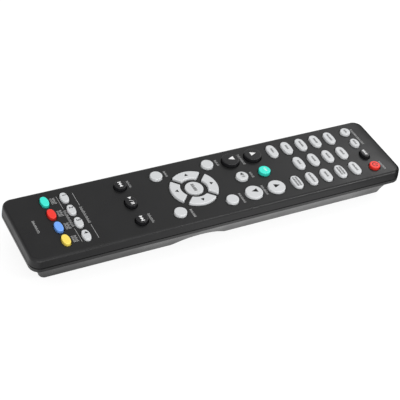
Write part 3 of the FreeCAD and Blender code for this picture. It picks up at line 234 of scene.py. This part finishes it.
# A narrow black card stands close off the front end. Only mirrored rays see it, and it keeps the
# rounded edge of the face dark there.
EDGE_CARD_PLACE = 116.0
EDGE_CARD_SPAN = (-32.0, 42.0)
EDGE_CARD_FOOT = 12.0
EDGE_CARD_TOP = 29.5
edge_mesh = bpy.data.meshes.new("edge_card")
edge_corners = [(EDGE_CARD_SPAN[0], EDGE_CARD_FOOT), (EDGE_CARD_SPAN[1], EDGE_CARD_FOOT),
                (EDGE_CARD_SPAN[1], EDGE_CARD_TOP), (EDGE_CARD_SPAN[0], EDGE_CARD_TOP)]
edge_points = [Vector((EDGE_CARD_PLACE, y, z)) * MM for y, z in edge_corners]
edge_mesh.from_pydata(edge_points, [], [(0, 1, 2, 3)])
edge_card = bpy.data.objects.new("edge_card", edge_mesh)
scene.collection.objects.link(edge_card)
edge_paint, edge_tree, edge_out = new_material("edge_card_paint")
edge_path = add(edge_tree, "ShaderNodeLightPath")
edge_clear = add(edge_tree, "ShaderNodeBsdfTransparent")
edge_black = add(edge_tree, "ShaderNodeBsdfDiffuse", {"Color": (0, 0, 0, 1)})
edge_mix = add(edge_tree, "ShaderNodeMixShader")
join(edge_path, "Is Glossy Ray", edge_mix, "Fac")
join(edge_clear, "BSDF", edge_mix, 1)
join(edge_black, "BSDF", edge_mix, 2)
join(edge_mix, "Shader", edge_out, "Surface")
edge_mesh.materials.append(edge_paint)


# The two covers and the battery door are moulded in charcoal plastic. The mould's faces are spark
# eroded, which leaves a fine even grain: matte on the key face, a little smoother underneath.
NOISE_SPAN = (0.3, 0.7)
NOISE_ROUGHNESS = 0.6
GRAIN_DETAIL = 3.0
PATCH_DETAIL = 2.0
GRAIN_STRENGTH = 0.6
UPRIGHT_SPAN = (0.15, 0.85)


def moulded_grain():
    """A node group for moulded plastic: a fine grain in height, and broad faint patches."""
    group = bpy.data.node_groups.new("moulded_grain", "ShaderNodeTree")
    for name, kind in (("Vector", "NodeSocketVector"), ("Grain Scale", "NodeSocketFloat"),
                       ("Patch Scale", "NodeSocketFloat")):
        group.interface.new_socket(name, in_out="INPUT", socket_type=kind)
    for name in ("Height", "Patches"):
        group.interface.new_socket(name, in_out="OUTPUT", socket_type="NodeSocketFloat")
    entry = add(group, "NodeGroupInput")
    leave = add(group, "NodeGroupOutput")
    for scale, detail, target in (("Grain Scale", GRAIN_DETAIL, "Height"),
                                  ("Patch Scale", PATCH_DETAIL, "Patches")):
        noise = add(group, "ShaderNodeTexNoise", {"Detail": detail, "Roughness": NOISE_ROUGHNESS})
        join(entry, "Vector", noise, "Vector")
        join(entry, scale, noise, "Scale")
        join(noise, "Fac", leave, target)
    return group


GRAIN = moulded_grain()


def colour_socket(sockets, name):
    """The colour socket among a Mix node's sockets of one name."""
    return next(socket for socket in sockets if socket.name == name and socket.type == "RGBA")


def deeper_sides(tree, painted, side_shade):
    """Painted shade: multiplies a colour by a share where the surface stands upright, darkening upright
    faces.
    """
    facing = add(tree, "ShaderNodeNewGeometry")
    upward = add(tree, "ShaderNodeSeparateXYZ")
    share = remap(tree, UPRIGHT_SPAN, (side_shade, 1.0))
    shaded_colour = add(tree, "ShaderNodeVectorMath", operation="SCALE")
    join(facing, "Normal", upward, "Vector")
    join(upward, "Z", share, "Value")
    tree.links.new(painted, shaded_colour.inputs["Vector"])
    join(share, "Result", shaded_colour, "Scale")
    return shaded_colour.outputs["Vector"]


def moulded(name, colour, roughness, grain_mm, depth_mm, patch_mm=14.0, swing=0.05, tint=0.08,
            side_shade=1.0, **shader):
    """A plastic of one colour, with the grain of its mould in its bump, colour and roughness, and painted
    shade on its upright faces if asked for.
    """
    material, tree, out = new_material(name)
    plastic = add(tree, "ShaderNodeBsdfPrincipled", shader)
    where = add(tree, "ShaderNodeTexCoord")
    grain = add(tree, "ShaderNodeGroup", node_tree=GRAIN)
    grain.inputs["Grain Scale"].default_value = 1 / (grain_mm * MM)
    grain.inputs["Patch Scale"].default_value = 1 / (patch_mm * MM)
    join(where, "Object", grain, "Vector")
    rough = remap(tree, NOISE_SPAN, (roughness - swing, roughness + swing))
    join(grain, "Patches", rough, "Value")
    join(rough, "Result", plastic, "Roughness")
    paint = add(tree, "ShaderNodeMix", data_type="RGBA")
    for socket, share in (("A", 1 - tint), ("B", 1 + tint)):
        tone = [min(1.0, part * share) for part in colour]
        colour_socket(paint.inputs, socket).default_value = (*tone, 1)
    join(grain, "Height", paint, "Factor")
    painted = colour_socket(paint.outputs, "Result")
    # Painted shade: the colour is darkened where the surface stands upright.
    if side_shade < 1.0:
        painted = deeper_sides(tree, painted, side_shade)
    tree.links.new(painted, plastic.inputs["Base Color"])
    bump = add(tree, "ShaderNodeBump", {"Strength": GRAIN_STRENGTH, "Distance": depth_mm * MM})
    join(grain, "Height", bump, "Height")
    join(bump, "Normal", plastic, "Normal")
    join(plastic, "BSDF", out, "Surface")
    return material


def dress(material, *names):
    """Gives a finish to CAD nodes, which stay as they are."""
    for name in names:
        for place in nodes[name].material_slots:
            place.material = material


face_plastic = moulded("face_plastic", [0.0105, 0.0105, 0.011], roughness=0.32, grain_mm=0.35,
                       depth_mm=0.010, **{"Specular IOR Level": 0.28})
under_plastic = moulded("under_plastic", [0.012, 0.012, 0.0125], roughness=0.30, grain_mm=0.45,
                        depth_mm=0.006)
dress(face_plastic, "top_cover")
dress(under_plastic, "bottom_cover", "battery_door")


# The keys are hard caps, moulded in pale grey, black and the four signal colours. They carry no grain
# that shows at arm's length. The coloured ones carry painted shade: their colour is darkened on upright
# faces.
GREY_KEYS = [name for name in nodes if name.startswith(("source_key", "quick_key", "volume_", "cursor_"))]
GREY_KEYS += ["zone_key_main", "zone_key_second", "mute_key", "info_key", "option_key", "back_key",
              "setup_key", "enter_key"]
BLACK_KEYS = ["sleep_key", "channel_up_key", "channel_down_key", "previous_key", "play_key", "next_key"]


def key_plastic(name, colour, roughness, shine=0.5, side_shade=1.0):
    """The hard plastic of the key caps, with more or less shine, and painted shade that darkens its
    upright faces.
    """
    return moulded(name, colour, roughness, grain_mm=0.6, depth_mm=0.004, patch_mm=5.0, swing=0.04,
                   tint=0.03, side_shade=side_shade, **{"Specular IOR Level": shine})


grey_plastic = key_plastic("grey_key_plastic", [0.55, 0.56, 0.57], 0.36)
black_plastic = key_plastic("black_key_plastic", [0.008, 0.008, 0.009], 0.24, shine=0.34)
# The last number given to each coloured plastic is painted shade: the share of its colour kept on upright
# faces.
green_plastic = key_plastic("green_key_plastic", [0.040, 0.74, 0.60], 0.28, shine=0.40, side_shade=0.60)
red_plastic = key_plastic("red_key_plastic", [0.81, 0.038, 0.026], 0.28, shine=0.30, side_shade=0.55)
blue_plastic = key_plastic("blue_key_plastic", [0.155, 0.355, 0.86], 0.30, shine=0.40, side_shade=0.65)
yellow_plastic = key_plastic("yellow_key_plastic", [0.87, 0.67, 0.110], 0.30, shine=0.40, side_shade=0.70)
dress(grey_plastic, *GREY_KEYS)
dress(black_plastic, *BLACK_KEYS)
dress(green_plastic, "green_mode_key", "green_key")
dress(red_plastic, "power_key", "red_key")
dress(blue_plastic, "blue_key")
dress(yellow_plastic, "yellow_key")


# The signs on the keys are pad printed: a film of ink, dark on the pale keys and white on the black
# ones. The reader looks along +X, so a sign's right is -Y and its top is +X. Sizes are in millimetres.
INK_FILM = 0.02
INK_SUNK = 0.01


def ink(name, level, **shader):
    """Printing ink with a faint unevenness from the pad."""
    return moulded(name, [level] * 3, roughness=0.55, grain_mm=0.25, depth_mm=0.003, patch_mm=1.5,
                   swing=0.06, tint=0.12, **shader)


dark_ink = ink("dark_ink", 0.006, **{"Specular IOR Level": 0.15})
white_ink = ink("white_ink", 0.75)
grey_ink = ink("grey_ink", 0.035)
red_ink = moulded("red_ink", [0.16, 0.006, 0.006], roughness=0.5, grain_mm=0.25, depth_mm=0.003,
                  patch_mm=1.5, tint=0.1)


def bar(right, up, width, height):
    """A rectangle, by its middle and its size."""
    return [(right - width / 2, up - height / 2), (right + width / 2, up - height / 2),
            (right + width / 2, up + height / 2), (right - width / 2, up + height / 2)]


def arrow(right, up, length, width, turn=0):
    """A triangle that points up, turned to the left by an angle about its middle."""
    angle = math.radians(turn)
    corners = ((-width / 2, -length / 2), (width / 2, -length / 2), (0, length / 2))
    return [(right + x * math.cos(angle) - y * math.sin(angle),
             up + x * math.sin(angle) + y * math.cos(angle)) for x, y in corners]


def band(right, up, radius, thickness, start, end, steps):
    """A part of a ring, between two angles in degrees."""
    angles = [math.radians(start + (end - start) * step / steps) for step in range(steps + 1)]
    outer = radius + thickness / 2
    inner = radius - thickness / 2
    return [(right + outer * math.cos(angle), up + outer * math.sin(angle)) for angle in angles] + [
        (right + inner * math.cos(angle), up + inner * math.sin(angle)) for angle in reversed(angles)]


def middle_of(name):
    """The middle of a node's top."""
    low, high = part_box(name)
    return Vector(((low.x + high.x) / 2, (low.y + high.y) / 2, high.z))


def place_print(mesh, middle):
    """Turns a sign that was drawn right and up, in millimetres, to the reader, on a surface."""
    turned = Matrix.Rotation(math.radians(-90), 4, "Z") @ Matrix.Scale(MM, 4)
    mesh.transform(Matrix.Translation(middle) @ turned)


def finish_print(mesh, name, material, body):
    """Makes a printed sign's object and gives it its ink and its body."""
    mesh.materials.clear()
    mesh.materials.append(material)
    sign = bpy.data.objects.new(name, mesh)
    scene.collection.objects.link(sign)
    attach(sign, body)


def print_shapes(name, shapes, middle, material, body):
    """Prints flat shapes as a thin closed film."""
    film = bmesh.new()
    for shape in shapes:
        base = film.faces.new([film.verts.new((x, y, -INK_SUNK)) for x, y in shape])
        base.normal_update()
        if base.normal.z > 0:
            base.normal_flip()
        top = bmesh.ops.extrude_face_region(film, geom=[base], use_keep_orig=True)
        raised = [part for part in top["geom"] if isinstance(part, bmesh.types.BMVert)]
        bmesh.ops.translate(film, verts=raised, vec=(0, 0, INK_SUNK + INK_FILM))
    bmesh.ops.recalc_face_normals(film, faces=film.faces)
    mesh = bpy.data.meshes.new(name)
    film.to_mesh(mesh)
    film.free()
    place_print(mesh, middle)
    finish_print(mesh, name, material, body)


DIGIT_SHARE = 0.7
DIGIT_BOLDER = 0.02
DIGIT_STEPS = 3


def print_number(name, text, height, middle, material, body):
    """Prints a plain number of a given height. A digit fills a share of its letter's size."""
    curve = bpy.data.curves.new(name, "FONT")
    curve.body = text
    curve.size = height / DIGIT_SHARE
    curve.align_x = "CENTER"
    curve.align_y = "CENTER"
    curve.extrude = (INK_SUNK + INK_FILM) / 2
    curve.offset = DIGIT_BOLDER * height
    curve.resolution_u = DIGIT_STEPS
    writing = bpy.data.objects.new(name, curve)
    scene.collection.objects.link(writing)
    bpy.context.view_layer.update()
    mesh = bpy.data.meshes.new_from_object(writing.evaluated_get(bpy.context.evaluated_depsgraph_get()))
    bpy.data.objects.remove(writing)
    mesh.transform(Matrix.Translation((0, 0, (INK_FILM - INK_SUNK) / 2)))
    place_print(mesh, middle)
    finish_print(mesh, name, material, body)


def on_key(key, shapes, material, right=0.0, up=0.0):
    """Prints shapes on the top of a key, a little off its middle if need be."""
    spot = middle_of(key) + Vector((up, -right, 0)) * MM
    print_shapes(f"{key}_sign", shapes, spot, material, key)


ROCKER_ARROW = (3.5, 3.0)
for key, turn, material, slot in (("channel_up_key", 0, white_ink, "key_grey"),
                                  ("channel_down_key", 180, white_ink, "key_grey"),
                                  ("volume_up_key", 0, dark_ink, "key_black"),
                                  ("volume_down_key", 180, dark_ink, "key_black")):
    on_key(key, [arrow(0, 0, *ROCKER_ARROW, turn)], material, right=-0.4, up=0.4)

CURSOR_ARROW = (1.9, 2.3)
CURSOR_REACH = 10.75
ring_middle = middle_of("enter_key")
for key, turn in (("cursor_up_key", 0), ("cursor_left_key", 90), ("cursor_down_key", 180),
                  ("cursor_right_key", 270)):
    way = Vector((math.cos(math.radians(turn)), math.sin(math.radians(turn)), 0))
    spot = Vector((ring_middle.x, ring_middle.y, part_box(key)[1].z)) + way * CURSOR_REACH * MM
    print_shapes(f"{key}_sign", [arrow(0, 0, *CURSOR_ARROW, turn)], spot, dark_ink, key)

SPEAKER_BACK = bar(-1.1, 0, 0.7, 1.1)
SPEAKER_CONE = [(-0.7, -0.55), (0.3, -1.3), (0.3, 1.3), (-0.7, 0.55)]
WAVE_WIDTH = 0.32
WAVE_ENDS = (-42, 42)
WAVES = [band(0.3, 0, 1.0, WAVE_WIDTH, *WAVE_ENDS, 10), band(0.3, 0, 1.7, WAVE_WIDTH, *WAVE_ENDS, 12)]
on_key("mute_key", [SPEAKER_BACK, SPEAKER_CONE, *WAVES], grey_ink, right=-0.7, up=0.3)

SKIP_ARROW = (1.7, 2.0)
SKIP_BAR = (0.55, 2.0)
PAUSE_BAR = (0.55, 1.9)
PLAY_SLASH = [(-0.65, -1.1), (-0.4, -1.1), (0.5, 1.1), (0.25, 1.1)]
on_key("previous_key", [bar(-2.15, 0, *SKIP_BAR), arrow(-1.1, 0, *SKIP_ARROW, 90),
                        arrow(0.6, 0, *SKIP_ARROW, 90)],
       white_ink, right=0.3)
on_key("next_key", [arrow(-0.6, 0, *SKIP_ARROW, 270), arrow(1.1, 0, *SKIP_ARROW, 270),
                    bar(2.15, 0, *SKIP_BAR)],
       white_ink, right=-0.2, up=-0.3)
on_key("play_key", [arrow(-2.1, 0, *SKIP_ARROW, 270), PLAY_SLASH, bar(1.6, 0, *PAUSE_BAR),
                    bar(2.5, 0, *PAUSE_BAR)],
       white_ink, right=-0.2, up=0.2)

STRIPES = [bar(-1.1, 0, 0.5, 1.0), bar(0, 0, 0.5, 1.2), bar(1.1, 0, 0.5, 1.0)]
on_key("green_mode_key", STRIPES, white_ink, up=0.5)

POWER_WIDTH = 0.55
POWER_RING = band(0, 0, 1.5, POWER_WIDTH, 125, 415, 28)
POWER_STEM = bar(0, 1.1, POWER_WIDTH, 1.8)
on_key("power_key", [POWER_RING, POWER_STEM], red_ink)

NUMBER_HEIGHT = 2.3
NUMBER_SHIFT = Vector((0.2, 1.3, 0)) * MM
for number in range(1, 5):
    key = f"quick_key_{number}"
    print_number(f"{key}_sign", str(number), NUMBER_HEIGHT, middle_of(key) + NUMBER_SHIFT, dark_ink, key)


# Where the real keys carry words, these carry rows of short plain strokes, as long as the words, in
# the same ink as the signs.
STROKE_PITCH = 0.74
STROKE_WIDTH = 0.48
STROKE_HEIGHTS = (1.25, 1.05, 1.25, 0.9, 1.15)
ROW_PITCH = 1.75
WORD_LENGTHS = {"left": (6.2, 4.2, 5.0, 3.7, 3.9), "middle": (4.3, 4.2, 4.8, 3.5),
                "right": (6.0, 6.7, 4.6, 7.2, 7.4)}
TWO_ROWS = ("source_key_right_2", "source_key_right_5")


def stroke_rows(length, rows=1, tall=1.0):
    """Rows of upright strokes of a given length, centred, one under another."""
    count = round(length / STROKE_PITCH)
    strokes = []
    for row in range(rows):
        up = ROW_PITCH * ((rows - 1) / 2 - row)
        for step in range(count):
            height = STROKE_HEIGHTS[(step + 2 * row) % len(STROKE_HEIGHTS)] * tall
            right = (step - (count - 1) / 2) * STROKE_PITCH
            strokes.append(bar(right, up + (height - STROKE_HEIGHTS[0] * tall) / 2, STROKE_WIDTH, height))
    return strokes


for side, lengths in WORD_LENGTHS.items():
    for row, length in enumerate(lengths, start=1):
        key = f"source_key_{side}_{row}"
        on_key(key, stroke_rows(length, 2 if key in TWO_ROWS else 1), grey_ink)
on_key("enter_key", stroke_rows(5.9, tall=1.5), grey_ink, right=-0.3)
on_key("zone_key_main", stroke_rows(2.9), grey_ink)
on_key("zone_key_second", stroke_rows(3.6), grey_ink)
on_key("sleep_key", stroke_rows(4.2, tall=1.1), white_ink, right=-0.3)


# The captions beside the keys are screen printed on the face. They are left without words: each is a
# row or two of short upright strokes in the caption's place, and thin rules flank two of the rows.
CAPTION_STROKE = 0.30
CAPTION_PITCH = 0.82
CAPTION_HEIGHTS = (1.45, 1.15, 1.45, 1.0, 1.3)
RULE_WIDTH = 0.20
LINE_PITCH = 1.45
FACE_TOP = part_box("top_cover")[1].z / MM
# Each caption has its place along the remote, its two ends across it, and its number of lines.
CAPTIONS = [(-102.0, 4.4, -5.3, 1), (-83.7, 6.6, -6.9, 1), (-74.5, 6.6, -6.9, 1), (-86.4, 17.7, 12.9, 2),
            (-86.4, 7.6, 2.8, 2), (-86.4, -2.5, -7.3, 2), (-86.4, -12.6, -17.4, 2),
            (-42.8, 17.8, 11.8, 1), (-42.8, -10.0, -17.0, 1), (-20.1, 18.8, 13.8, 1),
            (-19.8, -14.2, -20.4, 1), (11.6, 18.3, 13.3, 1), (11.4, -11.2, -19.0, 1),
            (25.9, 2.8, -2.2, 1), (26.5, 18.6, 9.9, 1), (26.5, -9.4, -17.6, 1), (103.2, 18.3, 3.8, 1),
            (103.2, -12.9, -20.0, 1)]
# Each rule has its place along the remote and its two ends across it.
RULES = [(-83.7, 18.3, 7.6), (-83.7, -7.9, -18.5), (-74.5, 18.3, 7.6), (-74.5, -7.9, -18.5)]


def caption_strokes():
    """The two ends of each stroke of the captions, row by row, as they are read."""
    strokes = []
    for x, start, end, lines in CAPTIONS:
        for line in range(lines):
            foot = x + LINE_PITCH * ((lines - 1) / 2 - line) - CAPTION_HEIGHTS[0] / 2
            for step in range(round((start - end) / CAPTION_PITCH)):
                across = start - (step + 0.5) * CAPTION_PITCH
                height = CAPTION_HEIGHTS[(step + line) % len(CAPTION_HEIGHTS)]
                strokes.append(((foot, across), (foot + height, across)))
    return strokes


def printed_bars():
    """A node tree that lays a flat printed bar along each edge of a mesh."""
    tree = bpy.data.node_groups.new("printed_bars", "GeometryNodeTree")
    for name, kind in (("Geometry", "NodeSocketGeometry"), ("Width", "NodeSocketFloat"),
                       ("Film", "NodeSocketFloat"), ("Ink", "NodeSocketMaterial")):
        tree.interface.new_socket(name, in_out="INPUT", socket_type=kind)
    tree.interface.new_socket("Geometry", in_out="OUTPUT", socket_type="NodeSocketGeometry")
    entry = add(tree, "NodeGroupInput")
    leave = add(tree, "NodeGroupOutput")
    to_curve = add(tree, "GeometryNodeMeshToCurve")
    upright = add(tree, "GeometryNodeSetCurveNormal", mode="Z_UP")
    profile = add(tree, "GeometryNodeCurvePrimitiveQuadrilateral")
    sweep = add(tree, "GeometryNodeCurveToMesh", {"Fill Caps": True})
    realize = add(tree, "GeometryNodeRealizeInstances")
    inked = add(tree, "GeometryNodeSetMaterial")
    join(entry, "Geometry", to_curve, "Mesh")
    join(to_curve, "Curve", upright, "Curve")
    join(entry, "Width", profile, "Width")
    join(entry, "Film", profile, "Height")
    join(upright, "Curve", sweep, "Curve")
    join(profile, "Curve", sweep, "Profile Curve")
    join(sweep, "Mesh", realize, "Geometry")
    join(realize, "Geometry", inked, "Geometry")
    join(entry, "Ink", inked, "Material")
    join(inked, "Geometry", leave, "Geometry")
    return tree


PRINTED_BARS = printed_bars()


def print_bars(name, ends, width, material):
    """Prints bars of one width on the face, each from one point to another, in millimetres."""
    level = FACE_TOP + (INK_FILM - INK_SUNK) / 2
    points = [Vector((x, y, level)) * MM for pair in ends for x, y in pair]
    lines = bpy.data.meshes.new(name)
    lines.from_pydata(points, [(2 * number, 2 * number + 1) for number in range(len(ends))], [])
    made = bpy.data.objects.new(name, lines)
    scene.collection.objects.link(made)
    layer = made.modifiers.new("bars", "NODES")
    layer.node_group = PRINTED_BARS
    sockets = {item.name: item.identifier for item in PRINTED_BARS.interface.items_tree
               if item.in_out == "INPUT"}
    layer[sockets["Width"]] = width * MM
    layer[sockets["Film"]] = (INK_SUNK + INK_FILM) * MM
    layer[sockets["Ink"]] = material
    plain = bpy.data.meshes.new_from_object(made.evaluated_get(bpy.context.evaluated_depsgraph_get()))
    made.modifiers.remove(layer)
    made.data = plain
    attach(made, "case")


caption_ink = ink("caption_ink", 0.40)
print_bars("caption_print", caption_strokes(), CAPTION_STROKE, caption_ink)
print_bars("rule_print", [((x, start), (x, end)) for x, start, end in RULES], RULE_WIDTH, caption_ink)


# The window at the front end lets infrared through and looks almost black, with a deep red in it. It
# is a tinted plastic, polished, and sits between the covers ahead of the two emitters, whose bodies
# are cast in clear resin.
window_plastic = moulded("window_plastic", [0.012, 0.0015, 0.002], roughness=0.10, grain_mm=2.5,
                         depth_mm=0.002, swing=0.03, **{"Coat Weight": 0.6, "Coat Roughness": 0.04})
dress(window_plastic, "infrared_window")
lamp_resin = moulded("lamp_resin", [0.62, 0.70, 0.80], roughness=0.12, grain_mm=1.2, depth_mm=0.002,
                     swing=0.04, **{"Transmission Weight": 0.85, "IOR": 1.54})
dress(lamp_resin, "infrared_emitters")


# The mat is one moulded sheet of charcoal silicone rubber that lies under all the keys. The board under
# it is glass fibre in green solder resist, with its chip, resonator and capacitor.
mat_rubber = moulded("mat_rubber", [0.035, 0.035, 0.037], roughness=0.72, grain_mm=0.5, depth_mm=0.02,
                     patch_mm=9.0, tint=0.12)
dress(mat_rubber, "keypad_mat")
chip_epoxy = moulded("chip_epoxy", [0.014, 0.014, 0.015], roughness=0.58, grain_mm=0.15, depth_mm=0.010,
                     patch_mm=3.0)
dress(chip_epoxy, "controller_chip")
resonator_glaze = moulded("resonator_glaze", [0.30, 0.12, 0.03], roughness=0.30, grain_mm=0.8,
                          depth_mm=0.015, patch_mm=2.0)
dress(resonator_glaze, "ceramic_resonator")
capacitor_sleeve = moulded("capacitor_sleeve", [0.03, 0.04, 0.09], roughness=0.28, grain_mm=1.2,
                           depth_mm=0.004, patch_mm=3.0)
dress(capacitor_sleeve, "smoothing_capacitor")

TRACK_PITCH = 1.9
TRACK_WIDTH = 0.11
TRACK_SOFT = 0.02
TRACK_HEIGHT = 0.03
TRACK_STRENGTH = 0.5
TRACK_DISORDER = 0.8
RESIST_ROUGHNESS = 0.42
TRACK_ROUGHNESS = 0.3
RESIST_GREEN = (0.012, 0.085, 0.03, 1)
TRACK_GREEN = (0.035, 0.19, 0.06, 1)
board_resist, board_tree, board_out = new_material("board_resist")
board_face = add(board_tree, "ShaderNodeBsdfPrincipled", {"Coat Weight": 0.5, "Coat Roughness": 0.15})
board_where = add(board_tree, "ShaderNodeTexCoord")
board_tracks = add(board_tree, "ShaderNodeTexVoronoi", {"Scale": 1 / (TRACK_PITCH * MM),
                                                        "Randomness": TRACK_DISORDER},
                   feature="DISTANCE_TO_EDGE")
board_edge = remap(board_tree, (TRACK_WIDTH, TRACK_WIDTH + TRACK_SOFT), (1.0, 0.0))
board_tint = add(board_tree, "ShaderNodeValToRGB")
board_tint.color_ramp.elements[0].color = RESIST_GREEN
board_tint.color_ramp.elements[1].color = TRACK_GREEN
board_rough = remap(board_tree, (0.0, 1.0), (RESIST_ROUGHNESS, TRACK_ROUGHNESS))
board_bump = add(board_tree, "ShaderNodeBump", {"Strength": TRACK_STRENGTH,
                                                "Distance": TRACK_HEIGHT * MM})
join(board_where, "Object", board_tracks, "Vector")
join(board_tracks, "Distance", board_edge, "Value")
join(board_edge, "Result", board_tint, "Fac")
join(board_tint, "Color", board_face, "Base Color")
join(board_edge, "Result", board_rough, "Value")
join(board_rough, "Result", board_face, "Roughness")
join(board_edge, "Result", board_bump, "Height")
join(board_bump, "Normal", board_face, "Normal")
join(board_face, "BSDF", board_out, "Surface")
dress(board_resist, "circuit_board")


# Two small cells lie head to tail in the bay. Each is a steel can in a printed wrap: a pale body and a
# band at the plus end, with bare steel at both ends. Springs and plates of plated steel hold them.
def drawn_steel(name, colour, roughness):
    """A plated steel with the faint lines of its drawing."""
    return moulded(name, colour, roughness, grain_mm=0.4, depth_mm=0.003, patch_mm=2.0, swing=0.06,
                   tint=0.05, **{"Metallic": 1.0})


contact_steel = drawn_steel("contact_steel", [0.62, 0.60, 0.57], 0.30)
screw_steel = drawn_steel("screw_steel", [0.10, 0.10, 0.105], 0.42)
dress(contact_steel, "bridge_contact", "spring_contact", "plate_contact")
dress(screw_steel, "case_screws")

left_low, left_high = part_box("battery_cell_left")
right_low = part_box("battery_cell_right")[0]
CELL_LENGTH = left_high.x / MM - left_low.x / MM
CELL_STEEL = (0.60, 0.60, 0.61, 1)
CELL_BAND = (0.03, 0.16, 0.20, 1)
CELL_RING = (0.75, 0.76, 0.78, 1)
CELL_BODY = (0.42, 0.43, 0.45, 1)
WRAP_GRAIN = 1.5
WRAP_PATCH = 6.0
WRAP_DEPTH = 0.01
WRAP_STRENGTH = 0.4
WRAP_ROUGHNESS = (0.18, 0.34)
# Each zone has its start from the plus end, its colour, and a one where it is bare steel.
CELL_ZONES = ((0.0, CELL_STEEL, 1), (1.6, CELL_BAND, 0), (10.5, CELL_RING, 0), (11.3, CELL_BODY, 0),
              (42.6, CELL_RING, 0), (43.4, CELL_STEEL, 1))


def cell_wrap(name, plus, towards):
    """The cell's finish, in zones from its plus end at one x towards the other end."""
    material, tree, out = new_material(name)
    face = add(tree, "ShaderNodeBsdfPrincipled")
    where = add(tree, "ShaderNodeTexCoord")
    split = add(tree, "ShaderNodeSeparateXYZ")
    along = remap(tree, (plus * MM, (plus + towards * CELL_LENGTH) * MM), (0.0, 1.0))
    join(where, "Object", split, "Vector")
    join(split, "X", along, "Value")
    for socket, pick in (("Base Color", lambda zone: zone[1]),
                         ("Metallic", lambda zone: (zone[2], zone[2], zone[2], 1))):
        ramp = add(tree, "ShaderNodeValToRGB")
        ramp.color_ramp.interpolation = "CONSTANT"
        while len(ramp.color_ramp.elements) < len(CELL_ZONES):
            ramp.color_ramp.elements.new(1.0)
        for stop, zone in zip(ramp.color_ramp.elements, CELL_ZONES):
            stop.position = zone[0] / CELL_LENGTH
            stop.color = pick(zone)
        join(along, "Result", ramp, "Fac")
        join(ramp, "Color", face, socket)
    grain = add(tree, "ShaderNodeGroup", node_tree=GRAIN)
    grain.inputs["Grain Scale"].default_value = 1 / (WRAP_GRAIN * MM)
    grain.inputs["Patch Scale"].default_value = 1 / (WRAP_PATCH * MM)
    rough = remap(tree, (0.0, 1.0), WRAP_ROUGHNESS)
    bump = add(tree, "ShaderNodeBump", {"Strength": WRAP_STRENGTH, "Distance": WRAP_DEPTH * MM})
    join(where, "Object", grain, "Vector")
    join(grain, "Patches", rough, "Value")
    join(rough, "Result", face, "Roughness")
    join(grain, "Height", bump, "Height")
    join(bump, "Normal", face, "Normal")
    join(face, "BSDF", out, "Surface")
    return material


dress(cell_wrap("left_cell_wrap", left_high.x / MM, -1), "battery_cell_left")
dress(cell_wrap("right_cell_wrap", right_low.x / MM, 1), "battery_cell_right")
